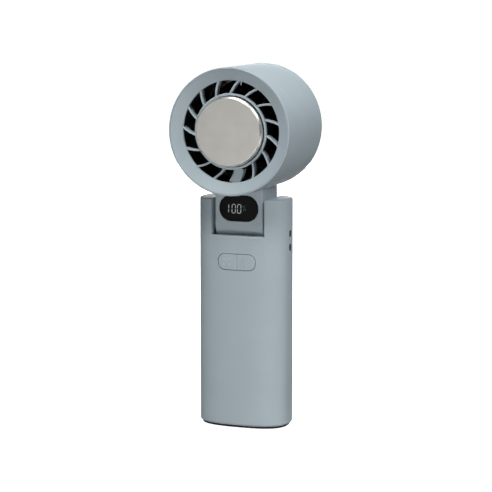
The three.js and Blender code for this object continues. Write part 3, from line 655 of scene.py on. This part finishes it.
def impeller():
    hub_r = BLADE_HUB_R
    tip_r = impeller_high.x
    outline = rounded(
        [
            (0, -6.2 * MM, 0),
            (6.5 * MM, -6.2 * MM, 1.2 * MM),
            (hub_r, -4.4 * MM, 1.5 * MM),
            (hub_r, 6.6 * MM, 0.2 * MM),
            (hub_r - 0.8 * MM, 6.6 * MM, 0.1 * MM),
            (hub_r - 0.8 * MM, -4 * MM, 0.6 * MM),
            (0, -4.7 * MM, 0),
        ]
    )
    pieces = [lathe("impeller_hub", outline, 128)]
    section = rounded([(-0.5, 0, 0.1), (-0.1, -0.6, 0.6), (0.5, -0.05, 0.05), (0.1, 0.5, 0.6)], 4)
    root_pitch, tip_pitch = 56, 32  # degrees from the plane of the wheel
    root_chord, tip_chord = 12.5, 17
    for k in range(BLADE_COUNT):
        rings = []
        for i in range(13):
            share = i / 12
            radius = hub_r - 0.5 * MM + (tip_r - hub_r + 0.5 * MM) * share
            pitch = math.radians(root_pitch + (tip_pitch - root_pitch) * share)
            chord = (root_chord + (tip_chord - root_chord) * share) * MM
            ring = []
            for along, thick in section:
                axial = along * chord * math.sin(pitch) + thick * MM * math.cos(pitch)
                around = along * chord * math.cos(pitch) - thick * MM * math.sin(pitch)
                turn = 2 * math.pi * k / BLADE_COUNT + around / radius
                ring.append((radius * math.cos(turn), axial + 0.4 * MM, HEAD_Z + radius * math.sin(turn)))
            rings.append(ring)
        pieces.append(loft(f"blade_{k}", rings))
    wheel = smooth(merge("impeller_wheel", *pieces))
    place(wheel, "rotor", "black_plastic", ["impeller"], blade_plastic)


def guide_sweep(radius):
    return 1.4 * (DUCT_R - radius) / MM


def motor_mount():
    top = mount_high.y
    flare_end = DISH_Y + VANE_DEPTH + 0.5 * MM
    duct = lathe(
        "air_duct",
        [
            (DUCT_R + DUCT_FLARE, mount_low.y),
            (DUCT_R + DUCT_WALL, mount_low.y),
            (DUCT_R + DUCT_WALL, POD_BACK_Y),
            (FLANGE_R, POD_BACK_Y),
            (FLANGE_R, top),
            (DUCT_R, top),
            (DUCT_R, flare_end + 3 * MM),
            (DUCT_R + DUCT_FLARE, flare_end),
        ],
    )
    corners = [
        (2.65 * MM, 0, 0),
        (3.15 * MM, 0, 0),
        (3.15 * MM, POD_FRONT_Y, 0),
        (POD_R, POD_FRONT_Y, 0.8 * MM),
        (POD_R, POD_BACK_Y, 0.3 * MM),
        (POD_R - MM, POD_BACK_Y, 0.3 * MM),
        (POD_R - MM, POD_FRONT_Y + 1.4 * MM, 0.3 * MM),
        (2.65 * MM, POD_FRONT_Y + 1.4 * MM, 0),
    ]
    pod = lathe("motor_pod", rounded(corners), 128)
    half, front, back, edge = 0.6 * MM, 10 * MM, 17 * MM, 0.3 * MM
    section = rounded([(half, front, edge), (half, back, edge), (-half, back, edge), (-half, front, edge)])
    guides = [
        swept_bar(f"guide_{k}", 10 * MM, DUCT_R + 0.5 * MM, 360 * k / GUIDE_COUNT, guide_sweep, section)
        for k in range(GUIDE_COUNT)
    ]
    mount = smooth(merge("motor_mounting", duct, pod, *guides))
    place(mount, "head", "black_plastic", ["motor_mount"])


# Rows of rear slots: how many, inner and outer radius and width in mm, first turn in degrees.
SLOT_ROWS = ((14, 9.6, 15.4, 2.3, 0), (20, 17.2, 23.4, 3.3, 4))
SCREW_PLACES = [(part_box(f"rear_screw_{i}"), f"rear_screw_{i}") for i in (1, 2, 3)]


def swept_slot(inner, outer, outer_deg, width, steps=16):
    """The outline of a rear intake slot with round ends."""
    lines = ([], [])
    sweep = lambda r: 2.2 * (outer - r) / MM
    for i in range(steps + 1):
        share = i / steps
        here, across = swept_frame(inner + (outer - inner) * share, outer_deg, sweep)
        near_end = min(share, 1 - share) * (outer - inner)
        half = width / 2
        if near_end < half:
            half = math.sqrt(max(half * half - (half - near_end) ** 2, 0.01 * half * half))
        lines[0].append(here - across * half)
        lines[1].append(here + across * half)
    return [tuple(p) for p in lines[0] + lines[1][::-1]]


def rear_grille():
    holes = []
    for count, inner, outer, width, first in SLOT_ROWS:
        turns = [first + 360 * k / count for k in range(count)]
        holes += [swept_slot(inner * MM, outer * MM, turn, width * MM) for turn in turns]
    for (low, high), _ in SCREW_PLACES:
        holes.append(circle(1.5 * MM, (low.x + high.x) / 2, (low.z + high.z) / 2 - HEAD_Z, 32))
    outer = circle(rear_high.x, segments=ROUND)
    plate = pierced_plate("rear_cover", outer, holes, rear_low.y, rear_high.y, 0.35 * MM)
    for vertex in plate.data.vertices:
        vertex.co.z += HEAD_Z
    place(plate, "head", "body_plastic", ["rear_grille"])


def rear_screws():
    for (low, high), node in SCREW_PLACES:
        x, z = (low.x + high.x) / 2, (low.z + high.z) / 2
        back = high.y
        outline = rounded(
            [
                (0, back, 0),
                (1.2 * MM, back, 0.4 * MM),
                (1.2 * MM, back - 0.8 * MM, 0.1 * MM),
                (0.7 * MM, back - 0.8 * MM, 0),
                (0.7 * MM, low.y + 0.4 * MM, 0),
                (0.4 * MM, low.y, 0),
                (0, low.y, 0),
            ],
            5,
        )
        screw = lathe(node + "_detail", outline, 48, x, z)
        long, thin = 0.75 * MM, 0.16 * MM
        bars = [
            block("bar", (x - a, back - 0.4 * MM, z - b), (x + a, back + MM, z + b))
            for a, b in ((long, thin), (thin, long))
        ]
        place(smooth(carve(screw, *bars)), "head", "steel", [node])


# ---------------- neck


def hinge_bore(radius, reach, segments):
    """A round cutter along the hinge axis."""
    outline = [(0, -reach), (radius, -reach), (radius, reach), (0, reach)]
    return lathe("bore", outline, segments, z=hinge.z, axis="X")


def neck_outline(radius, top, steps=48):
    """Flat front and back over a half-round foot, as (y, z) points."""
    foot = [
        (-radius * math.cos(math.pi * k / steps), hinge.z - radius * math.sin(math.pi * k / steps))
        for k in range(steps + 1)
    ]
    return [(-radius, top), *foot, (radius, top)]


def neck():
    radius = neck_high.y
    half = neck_high.x
    body = prism("neck", neck_outline(radius, 116 * MM), -half, half, "X")
    soften(body, 0.55 * MM, 4, math.radians(50))
    seat, reach = HEAD_R + 0.12 * MM, 30 * MM
    saddle = lathe("saddle", [(0, -reach), (seat, -reach), (seat, reach), (0, reach)])
    inner_half = half - 1.8 * MM
    inner_outline = neck_outline(radius - 2 * MM, cover_high.z + 0.3 * MM)
    hollow = prism("hollow", inner_outline, -inner_half, inner_half, "X")
    window = block(
        "window",
        (cover_low.x - 0.2 * MM, cover_low.y - 0.5 * MM, cover_low.z - 0.2 * MM),
        (cover_high.x + 0.2 * MM, radius + MM, cover_high.z + 0.2 * MM),
    )
    gap = 0.07 * MM
    pocket_outline = rounded_rectangle(
        LENS_WIDTH + 2 * gap, LENS_HEIGHT + 2 * gap, LENS_CORNER + gap, 0, LENS_Z, 24
    )
    pocket = prism("pocket", pocket_outline, -radius - MM, -radius + 1.2 * MM, "Y")
    light = block("light", (-8 * MM, -radius, 97.8 * MM), (8 * MM, -radius + 3 * MM, 106.6 * MM))
    bore = hinge_bore(BUSH_BORE_R, 20 * MM, 64)
    smooth(carve(body, saddle, hollow, window, pocket, light, bore), math.radians(30))
    place(body, "head", "body_plastic", ["neck_housing"])
    cover = soften(block("neck_cover", cover_low, cover_high), 0.3 * MM, 3)
    place(cover, "head", "body_plastic", ["neck_rear_cover"])


def display():
    edge = 0.2 * MM
    levels = [(0, lens_high.y), (0, lens_low.y + edge)]
    levels += [(d, lens_low.y + drop) for d, drop in quarter_round(edge, (22.5, 45, 67.5, 90))]
    rings = []
    for d, y in levels:
        size = (LENS_WIDTH - 2 * d, LENS_HEIGHT - 2 * d, LENS_CORNER - d)
        rings.append([(x, y, z) for x, z in rounded_rectangle(*size, 0, LENS_Z, 24)])
    place(smooth(loft("display_window", rings)), "head", "display_black", ["display_lens"])
    digits()


SEGMENTS = {
    "a": ((0, 2), (1, 2)),
    "b": ((1, 2), (1, 1)),
    "c": ((1, 1), (1, 0)),
    "d": ((0, 0), (1, 0)),
    "e": ((0, 1), (0, 0)),
    "f": ((0, 2), (0, 1)),
}
DIGIT_HEIGHT = 4.3 * MM
DIGIT_WIDTH = 1.95 * MM
STROKE = 0.3 * MM
LEAN = 0.03  # how far the digits lean to the right


def segment(start, end, x, z):
    """One lit bar with pointed ends, just in front of the window."""
    scale_x, scale_z = DIGIT_WIDTH - STROKE, (DIGIT_HEIGHT - STROKE) / 2
    a = Vector((start[0] * scale_x, start[1] * scale_z))
    b = Vector((end[0] * scale_x, end[1] * scale_z))
    along = (b - a).normalized()
    across = Vector((-along.y, along.x)) * STROKE / 2
    a, b = a + along * 0.14 * MM, b - along * 0.14 * MM
    tip = along * STROKE / 2
    corners = [a, a + tip + across, b - tip + across, b, b - tip - across, a + tip - across]
    outline = [(x + p.x + LEAN * p.y, z + p.y) for p in corners]
    return prism("segment", outline, lens_low.y - 0.03 * MM, lens_low.y + 0.05 * MM, "Y")


def digits():
    bottom = 100.25 * MM
    bars = [segment(*SEGMENTS[s], -6.65 * MM, bottom) for s in "bc"]
    for x in (-3.35 * MM, -0.7 * MM):
        bars += [segment(*SEGMENTS[s], x, bottom) for s in "abcdef"]
    place(merge("display_digits", *bars), "head", "white_ceramic", [], digit_glow)
    x, z, size = 2.2 * MM, 101.3 * MM, 2.6 * MM
    front, back = lens_low.y - 0.03 * MM, lens_low.y + 0.05 * MM
    half, run = 0.1 * MM, 0.4 * size
    slash = [(x - half, z), (x + half, z), (x + run + half, z + size), (x + run - half, z + size)]
    dots = [circle(0.3 * MM, x, z + 0.8 * size, 16), circle(0.3 * MM, x + run, z + 0.2 * size, 16)]
    marks = [prism("mark", outline, front, back, "Y") for outline in (slash, *dots)]
    place(merge("display_sign", *marks), "head", "white_ceramic", [], sign_glow)


# ---------------- handle


def section_point(turn, inset=0.0):
    a, b = HANDLE_A - inset, HANDLE_B - inset
    c, s = math.cos(turn), math.sin(turn)
    x = a * math.copysign(abs(c) ** (2 / HANDLE_POWER), c)
    y = b * math.copysign(abs(s) ** (2 / HANDLE_POWER), s)
    return Vector((x, y))


def even_turns(count):
    """Turns that space the section's points evenly along its edge."""
    fine = 4000
    points = [section_point(2 * math.pi * i / fine) for i in range(fine + 1)]
    lengths = [0.0]
    for before, after in zip(points, points[1:]):
        lengths.append(lengths[-1] + (after - before).length)
    turns, i = [], 0
    for k in range(count):
        goal = lengths[-1] * (k + 0.5) / count
        while lengths[i + 1] < goal:
            i += 1
        share = (goal - lengths[i]) / (lengths[i + 1] - lengths[i])
        turns.append(2 * math.pi * (i + share) / fine)
    return turns


FINE_TURNS = even_turns(192)
EDGE_ROOM = 1.1 * MM  # columns keep this far from the sides of the fork
COLUMNS = [t for t in FINE_TURNS if abs(abs(section_point(t).x) - SLOT_HALF) > EDGE_ROOM]


def stack(name, levels, turns=COLUMNS):
    """The handle's section stacked up from (z, inset) levels."""
    rings = [[(*section_point(t, inset), z) for t in turns] for z, inset in levels]
    return loft(name, rings)


def front_y(x):
    """The handle's front surface at x."""
    return -HANDLE_B * (1 - (abs(x) / HANDLE_A) ** HANDLE_POWER) ** (1 / HANDLE_POWER)


def fork_outline():
    """The neck's space as (y, z) points: a round seat, open above, with a level floor behind."""
    start = math.asin((hinge.z - LIP_Z) / SEAT_R)
    arc = [
        (SEAT_R * math.cos(t), hinge.z + SEAT_R * math.sin(t))
        for t in [math.pi + start + (math.pi / 2 - start) * k / 16 for k in range(17)]
    ]
    return [(-20 * MM, LIP_Z), *arc, (20 * MM, hinge.z - SEAT_R), (20 * MM, 0.12), (-20 * MM, 0.12)]


def on_skin(point, tolerance=0.015):
    reach = (abs(point.x) / HANDLE_A) ** HANDLE_POWER + (abs(point.y) / HANDLE_B) ** HANDLE_POWER
    return abs(reach - 1) < tolerance


def skin_normal(point):
    x = math.copysign((abs(point.x) / HANDLE_A) ** (HANDLE_POWER - 1) / HANDLE_A, point.x)
    y = math.copysign((abs(point.y) / HANDLE_B) ** (HANDLE_POWER - 1) / HANDLE_B, point.y)
    return Vector((x, y, 0)).normalized()


def shade_skin(obj):
    """Gives the handle's skin its curve's own normals, so that cuts leave no trace in its shading."""
    mesh = obj.data
    corners = [Vector(corner.vector) for corner in mesh.corner_normals]
    for polygon in mesh.polygons:
        for loop in polygon.loop_indices:
            point = mesh.vertices[mesh.loops[loop].vertex_index].co
            true = skin_normal(point)
            if on_skin(point, 0.006) and corners[loop].dot(true) > 0.8:
                corners[loop] = true
    mesh.normals_split_custom_set([tuple(corner) for corner in corners])


def fork_edge_weight(edge):
    """How strongly an edge of the fork is rounded: 1 on the ears' rims, less along the slot."""
    a, b = (v.co for v in edge.verts)
    both = lambda test: test(a) and test(b)
    near = lambda value, goal: abs(value - goal) < 0.02 * MM
    level = lambda height: both(lambda p: near(p.z, height))
    at_top, at_lip, skin = level(shell_high.z), level(LIP_Z), both(on_skin)
    at_wall = both(lambda p: near(abs(p.x), SLOT_HALF))
    if at_top and skin:
        return 1.0
    if at_wall and (at_top or skin):
        return 0.6
    if skin and at_lip:
        return 0.9
    if skin and level(hinge.z - SEAT_R):
        return 0.8
    if at_lip and both(lambda p: p.y > -9.2 * MM):
        return 0.5
    return 0.0


def round_fork(obj):
    bm = bmesh.new()
    bm.from_mesh(obj.data)
    layer = bm.edges.layers.float.get("bevel_weight_edge") or bm.edges.layers.float.new("bevel_weight_edge")
    for edge in bm.edges:
        sharp = len(edge.link_faces) == 2 and edge.calc_face_angle(0) > SHARP
        weight = fork_edge_weight(edge) if sharp else 0.0
        edge[layer] = weight
        edge.smooth = not sharp or weight > 0
    for face in bm.faces:
        face.smooth = True
    bm.to_mesh(obj.data)
    bm.free()
    bevel = obj.modifiers.new("round_fork", "BEVEL")
    bevel.width = 0.85 * MM
    bevel.segments = 5
    bevel.limit_method = "WEIGHT"
    bevel.use_clamp_overlap = False
    bevel.miter_outer = "MITER_SHARP"
    bake_modifiers(obj)
    smooth(obj, math.radians(38))
    shade_skin(obj)


STRAP_Z = (84.2 * MM, 90.5 * MM)


def strap_hole(z, inset):
    return rounded_rectangle(2.8 * MM - 2 * inset, 3.4 * MM - 2 * inset, 0.9 * MM - inset, 0, z)


def handle_shell():
    bottom = shell_low.z
    curve = 1.1 * MM
    levels = [(bottom + rise, inset) for rise, inset in quarter_round(curve, range(20, 91, 10))]
    levels = [(bottom, levels[0][1] + 0.35 * MM), *levels, (shell_high.z, 0)]
    shell = stack("handle", levels)
    cavity = stack("cavity", [(bottom - MM, HANDLE_WALL), (CAVITY_TOP, HANDLE_WALL)])
    ears = []
    for side in (-1, 1):
        near, far = sorted((side * EAR_HOLLOW_X, side * 25 * MM))
        ear = stack("ear", [(CAVITY_TOP - 4 * MM, HANDLE_WALL), (shell_high.z - 2 * MM, HANDLE_WALL)])
        ears.append(carve(ear, block("half", (near, -0.02, 0.07), (far, 0.02, 0.12)), operation="INTERSECT"))
    fork = prism("fork", fork_outline(), -SLOT_HALF, SLOT_HALF, "X")
    bore = hinge_bore(PIN_BORE_R, 17 * MM, 48)
    pill_outline = rounded_rectangle(*KEY_OPENING, 0, BUTTON_Z, 16)
    pill = prism("pill", pill_outline, -20 * MM, -5 * MM, "Y")
    usb_outline = rounded_rectangle(3.8 * MM, 9.6 * MM, 1.85 * MM, 0, USB_Z, 12)
    usb = prism("usb", usb_outline, -25 * MM, -17 * MM, "X")
    straps = [prism("strap", strap_hole(z, 0), 17 * MM, 25 * MM, "X") for z in STRAP_Z]
    carve(shell, cavity, *ears, fork, bore, pill, usb, *straps)
    round_fork(shell)
    place(shell, "handle", "body_plastic", ["handle_shell"])


def half_pill(side, inset):
    """One key's outline as (x, z) points, drawn in by inset."""
    inner, outer = 0.02 * MM + inset, 9.02 * MM - inset
    top = KEY_FACE_TOP - inset
    round_end, round_middle = max(3.27 * MM - inset, 0.05 * MM), max(0.45 * MM - inset, 0.05 * MM)
    corners = [
        (side * inner, BUTTON_Z - top, round_middle),
        (side * outer, BUTTON_Z - top, round_end),
        (side * outer, BUTTON_Z + top, round_end),
        (side * inner, BUTTON_Z + top, round_middle),
    ]
    return rounded(corners, 14)


def key_depth(x, depth):
    """The dip of a key's face at x: a rounded outer edge, and a shallow valley beside the other key."""
    if depth > MM:
        return depth
    away = min(max(abs(x) / MM - 0.5, 0), 1)
    valley = 0.16 * MM * max(0, 1 - abs(x) / (0.9 * MM)) ** 2
    return depth * away + valley * (1 - away)


def key(name, body, node, side):
    edge = 0.28 * MM
    levels = [(0.0, 2.6 * MM), (0.0, edge)]
    levels += quarter_round(edge, (18, 36, 54, 72, 90))
    levels += [(0.3 * MM + 0.2 * MM * k, 0.0) for k in range(1, 16)]
    rings = [
        [(x, front_y(x) + key_depth(x, depth), z) for x, z in half_pill(side, inset)]
        for inset, depth in levels
    ]
    face = loft(name, rings)
    low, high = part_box(node)
    flange = block("flange", (low.x, -10.6 * MM, low.z), (high.x, -10 * MM, high.z))
    soften(flange, 0.2 * MM, 2)
    outline = [(0, -10.2 * MM), (1.1 * MM, -10.2 * MM), (1.1 * MM, high.y), (0, high.y)]
    stem = lathe("stem", outline, 32, side * KEY_X, BUTTON_Z)
    place(smooth(merge(name, face, flange, stem)), body, "body_plastic", [node])


def relief(name, outlines):
    """Thin raised shapes that follow the handle's front."""
    parts = []
    for outline in outlines:
        part = prism("relief", outline, -1, 1, "Y")
        for vertex in part.data.vertices:
            depth = -0.18 * MM if vertex.co.y < 0 else 0.25 * MM
            vertex.co.y = front_y(vertex.co.x) + depth
        parts.append(part)
    return smooth(merge(name, *parts), math.radians(30))


def fan_icon(x, z):
    """Four curved blades round a hub."""
    outlines = [circle(0.42 * MM, x, z, 24)]
    for k in range(4):
        turn = math.radians(20 + 90 * k)
        sides = ([], [])
        for share in [i / 8 for i in range(9)]:
            radius, lean = (0.75 + 1.55 * share) * MM, turn + 0.35 * share
            sides[0].append((radius, lean - 0.12))
            sides[1].append((radius, lean + 0.22 + 0.42 * math.sin(math.pi * share)))
        blade = sides[0] + sides[1][::-1]
        outlines.append([(x + r * math.cos(t), z + r * math.sin(t)) for r, t in blade])
    return outlines


def snow_icon(x, z):
    """Six arms, each with a pair of short branches."""
    outlines = []

    def bar(start, end, width):
        a, b = Vector(start), Vector(end)
        across = Vector((-(b - a).y, (b - a).x)).normalized() * width / 2
        outlines.append([tuple(p) for p in (a - across, b - across, b + across, a + across)])

    for k in range(6):
        turn = math.radians(30 + 60 * k)
        out = Vector((math.cos(turn), math.sin(turn)))
        centre = Vector((x, z))
        bar(centre + out * 0.35 * MM, centre + out * 2.3 * MM, 0.3 * MM)
        for lean in (-1, 1):
            branch = Vector((math.cos(turn + lean * 0.9), math.sin(turn + lean * 0.9)))
            start = centre + out * 1.25 * MM
            bar(start, start + branch * 0.85 * MM, 0.26 * MM)
    return outlines


def buttons():
    key("fan_key_cap", "fan_key", "fan_button", -1)
    key("cooling_key_cap", "cooling_key", "cooling_button", 1)
    # the signs get the paler copy of the body plastic, a painted highlight
    blades = relief("fan_sign", fan_icon(-SIGN_X, BUTTON_Z))
    place(blades, "fan_key", "body_plastic", [], icon_highlight_plastic)
    flake = relief("cooling_sign", snow_icon(SIGN_X, BUTTON_Z))
    place(flake, "cooling_key", "body_plastic", [], icon_highlight_plastic)


def usb_port():
    mouth, back = usb_low.x, usb_high.x
    lip = mouth + 0.1 * MM
    rings = []
    for x, width in ((back, 3.2), (lip, 3.2), (mouth, 3.0), (mouth, 2.8), (lip, 2.6), (back - MM, 2.6)):
        height, corner = width + 5.7, (width - 0.1) / 2
        outline = rounded_rectangle(width * MM, height * MM, corner * MM, 0, USB_Z, 12)
        rings.append([(x, y, z) for y, z in outline])
    socket = smooth(loft("charge_socket", rings))
    place(socket, "handle", "steel", ["usb_c_port"])
    low = (mouth + 0.6 * MM, -0.35 * MM, USB_Z - 3.3 * MM)
    high = (back - 0.5 * MM, 0.35 * MM, USB_Z + 3.3 * MM)
    tongue = soften(block("charge_tongue", low, high), 0.12 * MM, 2)
    place(tongue, "handle", "black_plastic", [])


def strap_cup():
    """The cup behind the strap holes, with a sleeve through each of them."""
    (low, high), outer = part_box("lanyard_pocket"), 19.4 * MM
    shell = block("strap_cup", low, (outer, high.y, high.z))
    soften(shell, 0.3 * MM, 2)
    room = (low.x + 0.9 * MM, low.y + 0.8 * MM, low.z + MM)
    hollow = block("room", room, (outer - 0.6 * MM, -room[1], high.z - MM))
    sleeves = [prism("sleeve", strap_hole(z, 0.12 * MM), outer - 0.5 * MM, high.x, "X") for z in STRAP_Z]
    ways = [prism("way", strap_hole(z, 0.4 * MM), 18 * MM, 25 * MM, "X") for z in STRAP_Z]
    for sleeve in sleeves:
        carve(shell, sleeve, operation="UNION")
    carve(shell, hollow, *ways)
    place(smooth(shell), "handle", "black_plastic", ["lanyard_pocket"])


def base():
    inset = HANDLE_A - cap_high.x
    top = shell_low.z - 0.05 * MM
    levels = [
        (top, 2.6 * MM),
        (cap_low.z, 2.6 * MM),
        (cap_low.z, inset + 0.4 * MM),
        (cap_low.z + 0.12 * MM, inset + 0.12 * MM),
        (cap_low.z + 0.35 * MM, inset),
        (top, inset),
        (top + 0.01 * MM, 1.95 * MM),
        (cap_high.z, 1.95 * MM),
    ]
    cap = smooth(stack("base_cover", levels, FINE_TURNS))
    place(cap, "handle", "black_plastic", ["base_cap"])
    inset = HANDLE_A - pad_high.x
    levels = [
        (pad_low.z, inset + 0.3 * MM),
        (pad_low.z + 0.08 * MM, inset + 0.08 * MM),
        (pad_low.z + 0.25 * MM, inset),
        (pad_high.z, inset),
    ]
    pad = smooth(stack("foot", levels, FINE_TURNS))
    place(pad, "handle", "black_rubber", ["foot_pad"])


# ---------------- stage, light and camera


FAN_MIDDLE = Vector((0, 0, 0.09))


def area_light(name, place, power, width, height):
    """A soft lamp aimed at the middle of the fan."""
    data = bpy.data.lights.new(name, "AREA")
    data.energy = power
    data.shape = "RECTANGLE"
    data.size, data.size_y = width, height
    light = add_object(name, data)
    light.location = place
    light.rotation_euler = (FAN_MIDDLE - Vector(place)).to_track_quat("-Z", "Y").to_euler()


def white_stage(name, glow):
    """A matt white that glows a little, so that shadows on it stay pale."""
    n = Nodes(name)
    tinted = n.mix(n.spread(n.noise(0.4, 2), 0, 1), (0.93, 0.93, 0.93), (0.95, 0.95, 0.95))
    n.finish(tinted, n.spread(n.noise(0.05, 2), 0.85, 0.95), Specular_IOR_Level=0.0)
    n.shader.inputs["Emission Color"].default_value = (1, 1, 1, 1)
    n.shader.inputs["Emission Strength"].default_value = glow
    return n.material


def stage():
    """The floor, and a far white wall all round. Neither throws light back on the object."""
    room, count = 12.0, 96
    floor = prism("floor", circle(room, segments=count), -0.01, 0.0, "Z")
    floor.data.materials.append(white_stage("floor_white", 1.0))
    bare = [(x, y, z) for z in (-0.5, room) for x, y in circle(room - 0.1, segments=count)]
    wall = make("backdrop", bare, band(count))
    wall.data.materials.append(white_stage("backdrop_white", 1.0))
    for sheet in (floor, wall):
        sheet.visible_diffuse = False
        sheet.visible_glossy = False
        sheet.visible_shadow = False


def sky():
    """Faint light from all round, a little dimmer level with the fan."""
    world = bpy.data.worlds.new("studio")
    bpy.context.scene.world = world
    world.use_nodes = True
    tree = world.node_tree
    place = tree.nodes.new("ShaderNodeTexCoord").outputs["Generated"]
    split = tree.nodes.new("ShaderNodeSeparateXYZ")
    tree.links.new(place, split.inputs["Vector"])
    ramp = tree.nodes.new("ShaderNodeValToRGB")
    shift = tree.nodes.new("ShaderNodeMapRange")
    shift.inputs["From Min"].default_value = -1
    tree.links.new(split.outputs["Z"], shift.inputs["Value"])
    tree.links.new(shift.outputs["Result"], ramp.inputs["Fac"])
    stops = ramp.color_ramp.elements
    stops[0].color = stops[1].color = (0.12, 0.12, 0.12, 1)
    middle = stops.new(0.5)
    middle.color = (0.09, 0.09, 0.09, 1)
    tree.links.new(ramp.outputs["Color"], tree.nodes["Background"].inputs["Color"])


def studio():
    """Soft lamps round the fan. Three stand below floor level and shine up through the floor."""
    stage()
    sky()
    area_light("overhead", (0.0, -0.10, 1.30), 4.0, 0.6, 0.6)
    area_light("key", (0.03, -0.60, 1.15), 9.5, 0.5, 0.3)
    area_light("side", (0.88, -0.03, 0.90), 8.0, 0.5, 0.5)
    area_light("front", (-0.40, -1.12, -0.05), 2.2, 0.5, 0.5)
    area_light("bounce", (0.27, -0.73, -0.35), 2.7, 0.5, 0.2)
    area_light("low_side", (1.11, -0.10, -0.31), 1.3, 0.5, 0.5)
    area_light("back", (-0.45, 1.10, 0.10), 7.5, 0.6, 0.6)
    bpy.context.scene.view_settings.view_transform = "Standard"


def camera():
    down, turn = 8.303, 20.566  # degrees below level, and round to the right of the front
    data = bpy.data.cameras.new("camera")
    data.sensor_width = 36.0
    data.lens = 141.7
    data.clip_start, data.clip_end = 0.01, 100.0
    cam = add_object("camera", data)
    cam.location = (0.31197, -0.83203, 0.21339)
    cam.rotation_euler = (math.radians(90 - down), 0, math.radians(turn))
    bpy.context.scene.camera = cam


# ---------------- assembly

camera()
dress_cad_nodes()
head_barrel()
front_grille()
cooling_cup()
cooling_disc()
impeller()
motor_mount()
rear_grille()
rear_screws()
neck()
display()
handle_shell()
buttons()
usb_port()
strap_cup()
base()
studio()
